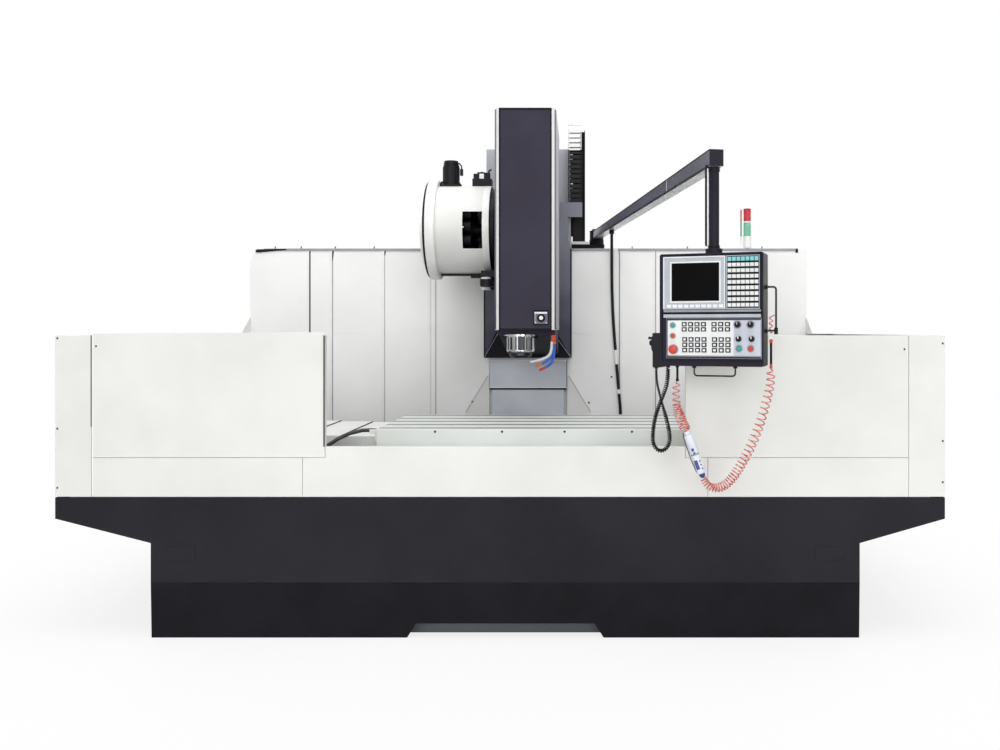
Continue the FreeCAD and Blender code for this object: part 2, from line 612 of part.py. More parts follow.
def guards():
    low = BASE_TOP + GUARD_SHEET
    post_left = -LEFT_REACH + POST_WIDTH
    post_right = RIGHT_REACH - POST_WIDTH
    gap = PANEL_GAP
    side_left = folded_panel("low_left", (post_left + gap, -LOWER_SEAM), (low, SEAM_HEIGHT))
    side_right = folded_panel("low_right", (LOWER_SEAM, post_right - gap), (low, SEAM_HEIGHT))
    sill = [
        (-LOWER_SEAM + gap, low),
        (-LOWER_SEAM + gap, SEAM_HEIGHT),
        (-OPENING_HALF + gap, SEAM_HEIGHT),
        (-OPENING_HALF + gap, LOW_TOP),
        (OPENING_HALF - gap, LOW_TOP),
        (OPENING_HALF - gap, SEAM_HEIGHT),
        (LOWER_SEAM - gap, SEAM_HEIGHT),
        (LOWER_SEAM - gap, low),
    ]
    middle = pad("low_middle", "XZ", sill, -FRONT, -FRONT + PANEL_FOLD)
    span = (-LOWER_SEAM + gap + GUARD_SHEET, LOWER_SEAM - gap - GUARD_SHEET)
    room_y = (-FRONT + GUARD_SHEET, -FRONT + PANEL_FOLD + 1)
    room = block("low_middle_room", span, room_y, (low + GUARD_SHEET, SEAM_HEIGHT - GUARD_SHEET))
    middle_shell = cut("low_middle_shell", middle, room)

    sill_y = (-FRONT + 8, -FRONT + BASE_WALL)
    left_x = (post_left + gap, -OPENING_HALF)
    right_x = (OPENING_HALF, post_right - gap)
    raised_z = (SEAM_HEIGHT + gap, RAISED_TOP)
    left = folded_panel("raised_left", left_x, raised_z)
    right = folded_panel("raised_right", right_x, raised_z)
    seam_y = (-FRONT + 8, -FRONT + PANEL_FOLD)
    seams = []
    for name, sx, sz in (
        ("post_left", (post_left, post_left + gap), (low, RAISED_TOP)),
        ("post_right", (post_right - gap, post_right), (low, RAISED_TOP)),
        ("low_left", (-LOWER_SEAM, -LOWER_SEAM + gap), (low, SEAM_HEIGHT)),
        ("low_right", (LOWER_SEAM - gap, LOWER_SEAM), (low, SEAM_HEIGHT)),
        ("up_left", (post_left + gap, -OPENING_HALF), (SEAM_HEIGHT, SEAM_HEIGHT + gap)),
        ("up_right", (OPENING_HALF, post_right - gap), (SEAM_HEIGHT, SEAM_HEIGHT + gap)),
        ("sill", (-LEFT_REACH + 60, RIGHT_REACH - 60), (BASE_TOP, low)),
    ):
        seams.append(block(f"seam_{name}", sx, seam_y if name != "sill" else sill_y, sz))
    low_set = (side_left, middle_shell, side_right)
    keep("guard_front", group("front_guards", *low_set, left, right, *seams))

    post_z = (low, RAISED_TOP)
    deep = PANEL_FOLD * 2
    left = folded_panel("post_left", (-LEFT_REACH, post_left), post_z, depth=deep)
    right = folded_panel("post_right", (post_right, RIGHT_REACH), post_z, depth=deep)
    keep("guard_end_posts", group("end_posts", left, right))

    run = (-FRONT + deep, REAR)
    sides = []
    for name, x, inward in (("left", -LEFT_REACH, 1), ("right", RIGHT_REACH, -1)):
        xs = (x, x + PANEL_FOLD) if inward > 0 else (x - PANEL_FOLD, x)
        rs = (x + GUARD_SHEET, x + PANEL_FOLD + 1) if inward > 0 else (x - PANEL_FOLD - 1, x - GUARD_SHEET)
        outer = block(f"side_{name}", xs, run, post_z)
        room_z = (low + GUARD_SHEET, RAISED_TOP - GUARD_SHEET)
        hollow = block(f"side_{name}_room", rs, (run[0] + GUARD_SHEET, run[1] - GUARD_SHEET), room_z)
        sides.append(cut(f"side_{name}_shell", outer, hollow))
        foot = (x + 5, x + 20) if inward > 0 else (x - 20, x - 5)
        sides.append(block(f"side_{name}_foot", foot, (-FRONT + deep, REAR), (BASE_TOP, low)))
    keep("guard_sides", group("side_guards", *sides))

    t = GUARD_SHEET
    back = (REAR + t, REAR + RIB_DEPTH)
    walls = []
    for name, sign, reach, step in (
        ("left", -1, LEFT_REACH, REAR_STEP_LEFT),
        ("right", 1, RIGHT_REACH, REAR_STEP_RIGHT),
    ):
        inner = REAR_GATE * sign
        end = reach * sign
        half = (reach - step) * sign
        low_x = (end, inner) if sign < 0 else (inner, end)
        high_x = (half, inner) if sign < 0 else (inner, half)
        walls.append(block(f"rear_{name}_low", low_x, (REAR, REAR + t), (low, RAISED_TOP)))
        upper = [(inner, RAISED_TOP), (half, RAISED_TOP)]
        if sign < 0:
            upper += [(half, REAR_TOP - 90), (half + 26, REAR_TOP - 26), (half + 90, REAR_TOP)]
        else:
            upper += [(half, REAR_TOP)]
        upper += [(inner, REAR_TOP)]
        walls.append(pad(f"rear_{name}_upper", "XZ", upper, REAR, REAR + t))
        start = high_x[0] + 90 if sign < 0 else high_x[0]
        walls.append(block(f"rear_{name}_lip", (start, high_x[1]), back, (REAR_TOP - t, REAR_TOP)))
        for n, part_way in enumerate((0.25, 0.5, 0.75)):
            x = inner + (half - inner) * part_way
            walls.append(block(f"rear_{name}_rib_{n}", (x - 12, x + 12), back, (low + 40, REAR_TOP - 20)))
        brace = [
            (REAR - 141, RAISED_TOP + 17),
            (REAR - 141, RAISED_TOP + 2),
            (REAR, RAISED_TOP + 2),
            (REAR, RAISED_TOP + 110),
        ]
        bx = (half, half + t * 2) if sign < 0 else (half - t * 2, half)
        walls.append(pad(f"rear_{name}_brace", "YZ", brace, *bx))
        ix = (end, half + t * 2) if sign < 0 else (half - t * 2, end)
        walls.append(block(f"rear_{name}_ledge", ix, (REAR - 141, REAR), (RAISED_TOP, RAISED_TOP + 2)))
        walls.append(block(f"rear_{name}_sill", low_x, (REAR, REAR + 30), (BASE_TOP, low)))
    port = block("cable_port", (545, 597), (726, REAR), (598, 636))
    keep("guard_rear", group("rear_guards", *walls, port))


# ---------------------------------------------------------------- column and head
Z_RAIL_OFFSET = dim("z_rail_offset", 150)


def column():
    face = [
        (-COLUMN_BASE_HALF, BED_TOP),
        (-COLUMN_BASE_HALF, BED_TOP + 260),
        (-COLUMN_HALF, BED_TOP + 700),
        (-COLUMN_HALF, COLUMN_TOP),
        (COLUMN_HALF, COLUMN_TOP),
        (COLUMN_HALF, BED_TOP + 700),
        (COLUMN_BASE_HALF, BED_TOP + 260),
        (COLUMN_BASE_HALF, BED_TOP),
    ]
    side = [
        (COLUMN_FRONT, BED_TOP),
        (COLUMN_FRONT, COLUMN_TOP),
        (COLUMN_FRONT + COLUMN_DEPTH, COLUMN_TOP),
        (COLUMN_FRONT + COLUMN_DEPTH, BED_TOP + 800),
        (COLUMN_FRONT + COLUMN_BASE_DEPTH, BED_TOP + 260),
        (COLUMN_FRONT + COLUMN_BASE_DEPTH, BED_TOP),
    ]
    front = pad("column_face", "XZ", face, COLUMN_FRONT, COLUMN_FRONT + COLUMN_BASE_DEPTH)
    flank = pad("column_flank", "YZ", side, -COLUMN_BASE_HALF, COLUMN_BASE_HALF)
    keep("column", common("column_casting", front, flank))

    z = (BED_TOP + 420, COLUMN_TOP - 30)
    w = RAIL_HALF * 0.72
    rails = []
    for name, sign in (("left", -1), ("right", 1)):
        centre = Z_RAIL_OFFSET * sign
        foot = COLUMN_FRONT
        section = [
            (centre - RAIL_HALF, foot),
            (centre - w, foot - RAIL_HEIGHT * 0.4),
            (centre - w, foot - RAIL_HEIGHT * 0.6),
            (centre - RAIL_HALF, foot - RAIL_HEIGHT * 0.72),
            (centre - RAIL_HALF, foot - RAIL_HEIGHT),
            (centre + RAIL_HALF, foot - RAIL_HEIGHT),
            (centre + RAIL_HALF, foot - RAIL_HEIGHT * 0.72),
            (centre + w, foot - RAIL_HEIGHT * 0.6),
            (centre + w, foot - RAIL_HEIGHT * 0.4),
            (centre + RAIL_HALF, foot),
        ]
        rails.append(pad(f"z_rail_{name}", "XY", section, *z))
    keep("z_rails", group("z_rail_pair", *rails))
    y = COLUMN_FRONT - 24
    screw = rod("z_screw", "z", (0, y, z[0]), 16, size(z[1]) - z[0])
    top = block("z_screw_top", (-60, 60), (y - 20, COLUMN_FRONT), (COLUMN_TOP - 90, COLUMN_TOP - 30))
    foot = block("z_screw_foot", (-60, 60), (y - 20, COLUMN_FRONT), (BED_TOP + 400, BED_TOP + 440))
    keep("z_drive", fuse("z_drive_set", screw, top, foot))

    t = GUARD_SHEET
    low = BASE_TOP + 54
    fixed_front = COLUMN_FRONT - 55
    fixed = block("fixed_cover", (-220, 220), (fixed_front, COLUMN_FRONT), (low, 948))
    fixed_y = (fixed_front + t, COLUMN_FRONT + 1)
    fixed_room = block("fixed_cover_room", (-220 + t, 220 - t), fixed_y, (low - 1, 949))
    keep("z_cover_lower", cut("fixed_cover_shell", fixed, fixed_room))

    shields = []
    for name, sign in (("left", -1), ("right", 1)):
        face = [
            (240 * sign, 1036),
            (250 * sign, 1036),
            (384 * sign, 806),
            (384 * sign, low + 10),
            (240 * sign, low + 10),
        ]
        shields.append(pad(f"shield_{name}", "XZ", face, REAR - 2 * t, REAR))
    keep("column_shields", group("shield_pair", *shields))


def head():
    x = (-HEAD_LEFT, HEAD_RIGHT)
    slide_back = COLUMN_FRONT - 46
    body = block("head_box", x, (-HEAD_FRONT, SLIDE_FRONT), (HEAD_BOTTOM, HEAD_TOP))
    slide_face = [
        (-SLIDE_HALF, SLIDE_BOTTOM),
        (-SLIDE_HALF, SLIDE_TOP - 191),
        (-SLIDE_HALF + 23, SLIDE_TOP - 131),
        (-SLIDE_HALF + 23, SLIDE_TOP),
        (SLIDE_HALF - 23, SLIDE_TOP),
        (SLIDE_HALF - 23, SLIDE_TOP - 131),
        (SLIDE_HALF, SLIDE_TOP - 191),
        (SLIDE_HALF, SLIDE_BOTTOM),
    ]
    slide = pad("head_slide", "XZ", slide_face, SLIDE_FRONT, slide_back)
    web_front = size(-50)
    wedge = [
        (web_front, HEAD_BOTTOM + 12),
        (web_front, HEAD_BOTTOM),
        (SLIDE_FRONT, SLIDE_BOTTOM),
        (SLIDE_FRONT, HEAD_BOTTOM + 12),
    ]
    gusset = [
        (x[0] - 74, HEAD_BOTTOM + 12),
        (-SLIDE_HALF + 10, SLIDE_BOTTOM),
        (SLIDE_HALF, SLIDE_BOTTOM),
        (x[1] - 10, HEAD_BOTTOM + 12),
    ]
    flank = pad("head_wedge", "YZ", wedge, *x)
    flare = pad("head_flare", "XZ", gusset, SLIDE_FRONT - 85, SLIDE_FRONT)
    rib = fuse("head_web", flank, flare)
    pieces = [slide]
    for n, sign in enumerate((-1, 1)):
        for m, z in enumerate((SLIDE_BOTTOM + 40, SLIDE_TOP - 160)):
            centre = Z_RAIL_OFFSET * sign
            c = RAIL_CLEARANCE
            hull = block(
                f"z_truck_{n}{m}", (centre - TRUCK_HALF, centre + TRUCK_HALF),
                (slide_back, COLUMN_FRONT - 8), (z, z + TRUCK_LENGTH),
            )
            room = block(
                f"z_truck_{n}{m}_room", (centre - RAIL_HALF - c, centre + RAIL_HALF + c),
                (COLUMN_FRONT - RAIL_HEIGHT - c, COLUMN_FRONT + 1), (z - 1, z + TRUCK_LENGTH + 1),
            )
            pieces.append(cut(f"z_truck_{n}{m}_cut", hull, room))
    bracket_x = (SLIDE_HALF - 73, COLUMN_HALF + 70)
    bracket_z = (SLIDE_TOP, SLIDE_TOP + 90)
    pieces.append(block("chain_bracket", bracket_x, (SLIDE_FRONT, SLIDE_FRONT + 40), bracket_z))
    for n, z in enumerate((1400, 1800)):
        for m, y in enumerate((-60, 280)):
            right_gap = (x[1], COVER_RIGHT - COVER_SHEET)
            pieces.append(block(f"cover_pad_{n}{m}", right_gap, (y, y + 40), (z, z + 40)))
            left_gap = (-COVER_LEFT + COVER_SHEET, x[0])
            pieces.append(block(f"cover_pad_left_{n}{m}", left_gap, (y, y + 40), (z, z + 40)))
    nut_y = COLUMN_FRONT - 24
    hull = block("z_nut", (-50, 50), (slide_back, COLUMN_FRONT - 4), (1500, 1600))
    bore = rod("z_nut_bore", "z", (0, nut_y, 1499), 17, 102)
    pieces.append(cut("z_nut_bored", hull, bore))
    seat = rod("spindle_seat", "z", (0, 0, HEAD_BOTTOM - 1), NOSE_RADIUS + 10, 381)
    relief = rod("spindle_relief", "z", (0, 0, SLIDE_BOTTOM), NOSE_RADIUS + 21, HEAD_BOTTOM - SLIDE_BOTTOM)
    bored = cut("head_bored", fuse("head_solid", body, rib), seat, relief)
    keep("head_casting", fuse("head_casting_set", bored, *pieces))

    front = -COVER_FRONT
    b = COVER_BEVEL
    back = HEAD_FRONT + 450
    left = -COVER_LEFT
    right = size(COVER_RIGHT)
    plan = [
        (left, front + b),
        (left + b, front),
        (right - b, front),
        (right, front + b),
        (right, back),
        (left, back),
    ]
    t = COVER_SHEET
    inner = [
        (left + t, front + b + 1),
        (left + b + 1, front + t),
        (right - b - 1, front + t),
        (right - t, front + b + 1),
        (right - t, back + 1),
        (left + t, back + 1),
    ]
    outer = pad("cover_outside", "XY", plan, COVER_BOTTOM, COVER_TOP)
    room = pad("cover_inside", "XY", inner, COVER_BOTTOM - 1, COVER_TOP - t)
    keep("head_cover", cut("cover_shell", outer, room))

    barrel = [
        (NOSE_BOTTOM, 0),
        (NOSE_BOTTOM, NOSE_RADIUS - 6),
        (NOSE_BOTTOM + 6, NOSE_RADIUS),
        (NOSE_BOTTOM + 86, NOSE_RADIUS),
        (NOSE_BOTTOM + 86, NOSE_RADIUS + 18),
        (NOSE_BOTTOM + 95, NOSE_RADIUS + 18),
        (NOSE_BOTTOM + 95, NOSE_RADIUS + 10),
        (HEAD_BOTTOM + 380, NOSE_RADIUS + 10),
        (HEAD_BOTTOM + 380, 0),
    ]
    cartridge = turned("cartridge", "z", barrel, (0, 0, 0))
    bore = rod("cartridge_bore", "z", (0, 0, NOSE_BOTTOM - 1), 60, 140)
    keep("spindle_cartridge", cut("cartridge_bored", cartridge, bore))
    nose = [
        (SPINDLE_END, 35),
        (SPINDLE_END, 56),
        (SPINDLE_END + 4, 60),
        (SPINDLE_END + 21.5, 60),
        (SPINDLE_END + 21.5, 59.5),
        (SPINDLE_END + 150, 59.5),
        (SPINDLE_END + 150, 13),
        (SPINDLE_END + 100, 13),
        (SPINDLE_END + 100, 20.5),
    ]
    turning = turned("nose", "z", nose, (0, 0, 0))
    keys = []
    for n, sign in enumerate((-1, 1)):
        xs = (36, 54) if sign > 0 else (-54, -36)
        keys.append(block(f"drive_key_{n}", xs, (-8, 8), (SPINDLE_END - 8, SPINDLE_END + 6)))
    keep("spindle_nose", fuse("nose_set", turning, *keys))

    base = block("motor_base", (-100, 100), (-100, 100), (HEAD_TOP, HEAD_TOP + 40))
    motor = block("motor_body", (-92, 92), (-92, 92), (HEAD_TOP + 40, HEAD_TOP + 380))
    fan = rod("motor_fan", "z", (0, 0, HEAD_TOP + 380), 80, 60)
    keep("spindle_motor", fuse("motor_set", base, motor, fan))

    t = GUARD_SHEET
    front_y = COLUMN_FRONT - 66
    outer = block("upper_cover", (-235, 235), (front_y, COLUMN_FRONT - 4), (948, SLIDE_BOTTOM - 5))
    inside = (-235 + t, 235 - t)
    room = block("upper_cover_room", inside, (front_y + t, COLUMN_FRONT), (947, SLIDE_BOTTOM))
    strip_z = (SLIDE_BOTTOM - 6, SLIDE_BOTTOM)
    strip = block("upper_cover_top", (-235, 235), (front_y, COLUMN_FRONT - 50), strip_z)
    shell = cut("upper_cover_shell", outer, room)
    keep("z_cover_upper", fuse("upper_cover_set", shell, strip))

    hoses = [block("nozzle_block", (156, 188), (-108, -66), (1248, HEAD_BOTTOM))]
    for n, (root, bend, tip) in enumerate((
        ((168, -98, 1250), (163, -96, 1190), (80, -80, 1150)),
        ((176, -88, 1250), (172, -88, 1180), (94, -78, 1126)),
        ((183, -76, 1250), (181, -80, 1168), (112, -78, 1104)),
    )):
        last = root
        for m, (at, radius) in enumerate(((bend, 7), (tip, 7))):
            hoses.append(link(f"nozzle_{n}_{m}", last, at, radius))
            hoses.append(ball(f"nozzle_joint_{n}_{m}", at, radius))
            last = at
    keep("coolant_nozzles", fuse("nozzle_set", *hoses))

    face = -COVER_FRONT
    box = block("release_box", (83, 152), (face - 14, face), (1344, 1408))
    hole = rod("release_hole", "y", (119, face - 15, 1375), 11.5, 15)
    ring = rod("release_ring", "y", (119, face - 18, 1375), 17, 4)
    ring_hole = rod("release_ring_hole", "y", (119, face - 19, 1375), 11.5, 6)
    plate = cut("release_plate", box, hole)
    bezel = cut("release_bezel", ring, ring_hole)
    keep("tool_release_box", fuse("release_set", plate, bezel))
    keep("tool_release_button", rod("release_button", "y", (119, face - 24, 1375), 11, 20))


# ---------------------------------------------------------------- chain, magazine, changer
def chain():
    """Cable chain: a front strand down to the head slide, a turn and a rear strand in a trough."""
    x = (COLUMN_HALF + 8, COLUMN_HALF + 70)
    core_x = (x[0] + 8, x[1] - 8)
    top = COLUMN_TOP + 94
    low = SLIDE_TOP + 90
    count = 8
    pitch = (top - low) / count
    front_y = (SLIDE_FRONT, SLIDE_FRONT + 40)
    links = []
    for n in range(count):
        z = low + pitch * n
        links.append(block(f"link_{n}", x, front_y, (z, z + pitch - 3)))
    spine = block("chain_spine", core_x, (front_y[0] + 8, front_y[1] - 8), (low, top))
    mid = COLUMN_FRONT - 30
    turn = rod("chain_turn", "x", (core_x[0], mid, top), 62, core_x[1] - core_x[0])
    core = rod("chain_turn_core", "x", (x[0] + 7, mid, top), 38, x[1] - x[0] - 14)
    half = block("chain_turn_half", x, (mid - 70, mid + 70), (top, top + 71))
    arch = common("chain_arch", cut("chain_turn_ring", turn, core), half)
    back = block("chain_back", core_x, (mid + 38, mid + 62), (COLUMN_TOP - 185, top))
    keep("cable_chain", fuse("chain_set", spine, arch, back, *links))
    run = (COLUMN_HALF + 10, COLUMN_HALF + 88)
    y = (COLUMN_FRONT + 10, COLUMN_FRONT + 60)
    z = (COLUMN_TOP - 568, COLUMN_TOP + 117)
    trough = block("trough", run, y, z)
    room = block("trough_room", (run[0] + 4, run[1] - 4), (y[0] - 1, y[1] - 4), (z[0] - 1, z[1] + 1))
    guide = cut("trough_cut", trough, room)
    arm_z = (COLUMN_TOP - 535, COLUMN_TOP - 235)
    arm = block("trough_arm", (COLUMN_HALF, COLUMN_HALF + 60), (y[1], y[1] + 30), arm_z)
    keep("chain_guide", fuse("guide_set", guide, arm))


def magazine():
    axis = (0, DRUM_Y, DRUM_Z)
    t = DRUM_SHEET
    r = DRUM_RADIUS
    shell = [
        (-DRUM_LEFT, r - t),
        (-DRUM_LEFT, r),
        (-DRUM_RIGHT - 20, r),
        (-DRUM_RIGHT - 20, r - t),
    ]
    band = turned("drum_band", "x", shell, axis)
    window = block("drum_window", (-321, -207), (0, DRUM_Y), (1758, 1958))
    keep("magazine_cover", cut("drum_shell", band, window))
    dome = [
        (-DRUM_LEFT - CAP_DEPTH - CAP_BULGE, 0),
        (-DRUM_LEFT - CAP_DEPTH - CAP_BULGE, 70),
        (-DRUM_LEFT - CAP_DEPTH - CAP_BULGE * 0.9, 120),
        (-DRUM_LEFT - CAP_DEPTH - CAP_BULGE * 0.68, 175),
        (-DRUM_LEFT - CAP_DEPTH - CAP_BULGE * 0.4, 225),
        (-DRUM_LEFT - CAP_DEPTH, CAP_RADIUS - 14),
        (-DRUM_LEFT - CAP_DEPTH + 14, CAP_RADIUS),
        (-DRUM_LEFT - 6, CAP_RADIUS),
        (-DRUM_LEFT, CAP_RADIUS - 6),
        (-DRUM_LEFT, DRUM_RADIUS - t),
        (-DRUM_LEFT - 4, DRUM_RADIUS - t),
        (-DRUM_LEFT - 4, CAP_RADIUS - 12),
        (-DRUM_LEFT - 60, CAP_RADIUS - 12),
        (-DRUM_LEFT - 60, 0),
    ]
    keep("magazine_cap", turned("drum_cap", "x", dome, axis))
    plate = rod("drum_plate", "x", (-DRUM_RIGHT - 20, DRUM_Y, DRUM_Z), r - 17, 34)
    ring = rod("drum_ring", "x", (-DRUM_RIGHT - 20, DRUM_Y, DRUM_Z), r, 6)
    hub = rod("drum_hub", "x", (-DRUM_RIGHT - 240, DRUM_Y, DRUM_Z), 38, 221)
    disc = fuse("drum_plate_set", plate, ring, hub)
    cross = block("bracket_cross", (-350, -156), (560, 600), (1780, 2060))
    strut = block("bracket_strut", (-350, -310), (560, 900), (1830, 2060))
    pad_block = block("bracket_pad", (-310, -COLUMN_HALF), (800, 900), (1830, 2060))
    tie = block("bracket_tie", (-187, -156), (DRUM_Y, 561), (1800, 1960))
    room = block("bracket_tie_room", (-188, -155), (DRUM_Y - 200, DRUM_Y + 225), (1790, 1970))
    tie_cut = cut("bracket_tie_cut", tie, room)
    arm_box = block("changer_box", (-222, -128), (85, 215), (1600, 1638))
    arm_back = block("changer_back", (-152.5, -135), (110, 215), (1600, 1780))
    frame = fuse("frame_set", disc, cross, strut, pad_block, tie_cut, arm_box, arm_back)
    keep("magazine_frame", frame)
    motor = rod("mag_motor", "z", (-413, DRUM_Y, DRUM_Z + r - 2), 46, 120)
    top = rod("mag_motor_top", "z", (-413, DRUM_Y, DRUM_Z + r + 118), 40, 26)
    low_z = (DRUM_Z + r - 5, DRUM_Z + r + 6)
    foot = block("mag_motor_foot", (-468, -360), (DRUM_Y - 60, DRUM_Y + 60), low_z)
    valve_z = (DRUM_Z + r - 5, DRUM_Z + r + 40)
    valve = block("mag_valve", (-289, -181), (DRUM_Y - 40, DRUM_Y + 40), valve_z)
    bar_z = (DRUM_Z + r + 40, DRUM_Z + r + 78)
    bar = block("mag_valve_top", (-262, -220), (DRUM_Y - 30, DRUM_Y + 30), bar_z)
    space = rod("mag_motor_space", "x", (-480, DRUM_Y, DRUM_Z), r + 0.5, 320)
    motors = fuse("mag_motor_set", motor, top, foot, valve, bar)
    keep("magazine_motor", cut("mag_motor_set_cut", motors, space))
    carrier = [
        (-415, 38.3),
        (-415, 160),
        (-400, 172),
        (-385, 172),
        (-385, 60),
        (-285, 60),
        (-285, 38.3),
    ]
    wheel = turned("carrier", "x", carrier, axis)
    arms = [wheel]
    for n in range(POT_COUNT):
        a = 2 * math.pi * n / POT_COUNT
        y = DRUM_Y + POT_CIRCLE * math.cos(a)
        z = DRUM_Z + POT_CIRCLE * math.sin(a)
        arms.append(cone(f"pot_{n}", "x", (-400, y, z), 24, POT_RADIUS, 120))
    keep("magazine_disc", fuse("carrier_set", *arms))
    hub = rod("arm_hub", "z", (-ARM_X, ARM_Y, 1538), 40, 62)
    bar = block("arm_bar", (-ARM_X - 34, -ARM_X + 34), (ARM_Y - 165, ARM_Y + 165), (1545, 1583))
    grips = [hub, bar]
    for n, sign in enumerate((-1, 1)):
        at = ARM_Y + 192 * sign
        claw = rod(f"claw_{n}", "z", (-ARM_X, at, 1545), 42, 38)
        gap = rod(f"claw_{n}_gap", "z", (-ARM_X, at, 1544), 27, 40)
        mouth_x = (-ARM_X, -ARM_X + 60) if sign > 0 else (-ARM_X - 60, -ARM_X)
        mouth = block(f"claw_{n}_mouth", mouth_x, (at - 26, at + 26), (1544, 1584))
        grips.append(cut(f"claw_{n}_cut", claw, gap, mouth))
    keep("change_arm", fuse("arm_set", *grips))


# ---------------------------------------------------------------- boom and pendant
def spun(made, centre, angle):
    """Turns a piece that was drawn at the origin about Z and moves it to centre."""
    made.Placement = FreeCAD.Placement(V(), FreeCAD.Rotation(V(0, 0, 1), angle))
    return place(made, *centre)


def boom():
    run_x = PENDANT_X.value - BOOM_X.value
    run_y = PENDANT_Y.value + BOOM_Y.value
    reach = math.hypot(run_x, run_y)
    angle = math.degrees(math.atan2(run_x, run_y))
    top = BOOM_Z - 95
    shelf_z = (top - 24, top)
    shelf = block("boom_shelf", (COLUMN_HALF, 480), (1190, 1300), shelf_z)
    web_face = [(COLUMN_HALF, top - 180), (COLUMN_HALF, top - 24), (430, top - 24)]
    web = pad("boom_shelf_web", "XZ", web_face, 1235, 1259)
    post = rod("boom_post", "z", (BOOM_X, BOOM_Y, top), 48, 35)
    axle = rod("boom_axle", "z", (BOOM_X, BOOM_Y, top + 34), 18, 61)
    cap = rod("boom_axle_cap", "z", (BOOM_X, BOOM_Y, BOOM_Z), 30, 10)
    keep("boom_bracket", fuse("boom_bracket_set", shelf, web, post, axle, cap))

    root = BOOM_Z.value
    tip = BOOM_END_Z.value
    side = [
        (60, root - 53),
        (60, root - 7),
        (-reach - 33, tip + 37),
        (-reach - 33, tip - 29),
        (-60, root - 52),
    ]
    arm = pad("boom_beam", "YZ", side, -29, 29)
    spun(arm, (BOOM_X, BOOM_Y, 0), angle)
    rise = (tip - 29 - root + 52) / (reach - 27)
    strip_far = root - 52 + rise * 60
    strip_near = root - 52 + rise * (reach - 60)
    strip = [
        (-120, strip_far),
        (-reach, strip_near),
        (-reach, strip_near - 4),
        (-120, strip_far - 4),
    ]
    ridge = pad("boom_strip", "YZ", strip, -26, 26)
    spun(ridge, (BOOM_X, BOOM_Y, 0), angle)
    boss = rod("boom_boss", "z", (BOOM_X, BOOM_Y, top + 35.3), 46, 59)
    bore = rod("boom_boss_bore", "z", (BOOM_X, BOOM_Y, top + 30), 18.3, 90)
    tube_z = PENDANT_TOP + 20
    tube = rod("drop_tube", "z", (PENDANT_X, -PENDANT_Y, tube_z), 21, BOOM_END_Z - tube_z - 20)
    pipe = rod("drop_conduit", "z", (PENDANT_X - 29, -PENDANT_Y, tube_z + 10), 6, BOOM_END_Z - tube_z - 30)
    clip = block("drop_clip", (PENDANT_X - 34, PENDANT_X), (-PENDANT_Y - 5, -PENDANT_Y + 5), (1760, 1775))
    gland = rod("boom_gland", "z", (513.6, 742, root - 72), 15, 32)
    whole = fuse("boom_set", arm, ridge, boss, tube, pipe, clip, gland)
    keep("boom_arm", cut("boom_bored", whole, bore))


def key_grid(name, x, z, columns, rows_count, y, gap=0.26, rise=3):
    """A block of keys between two corners."""
    made = []
    step_x = (x[1] - x[0]) / columns
    step_z = (z[1] - z[0]) / rows_count
    for c in range(columns):
        for r in range(rows_count):
            xs = (x[0] + step_x * (c + gap / 2), x[0] + step_x * (c + 1 - gap / 2))
            zs = (z[0] + step_z * (r + gap / 2), z[0] + step_z * (r + 1 - gap / 2))
            made.append(block(f"{name}_{c}_{r}", xs, (y - rise, y), zs))
    return made


def hung(name, made):
    """Keeps a pendant piece that was drawn square to the machine, turned with the pendant."""
    angle = PENDANT_TURN.value
    c = math.cos(math.radians(angle))
    s = math.sin(math.radians(angle))
    made.Placement = FreeCAD.Placement(V(), FreeCAD.Rotation(V(0, 0, 1), -angle))
    shift_x = PENDANT_X * (1 - c) + PENDANT_Y * s
    shift_y = PENDANT_X * s - PENDANT_Y * (1 - c)
    return keep(name, place(made, shift_x, shift_y, 0))


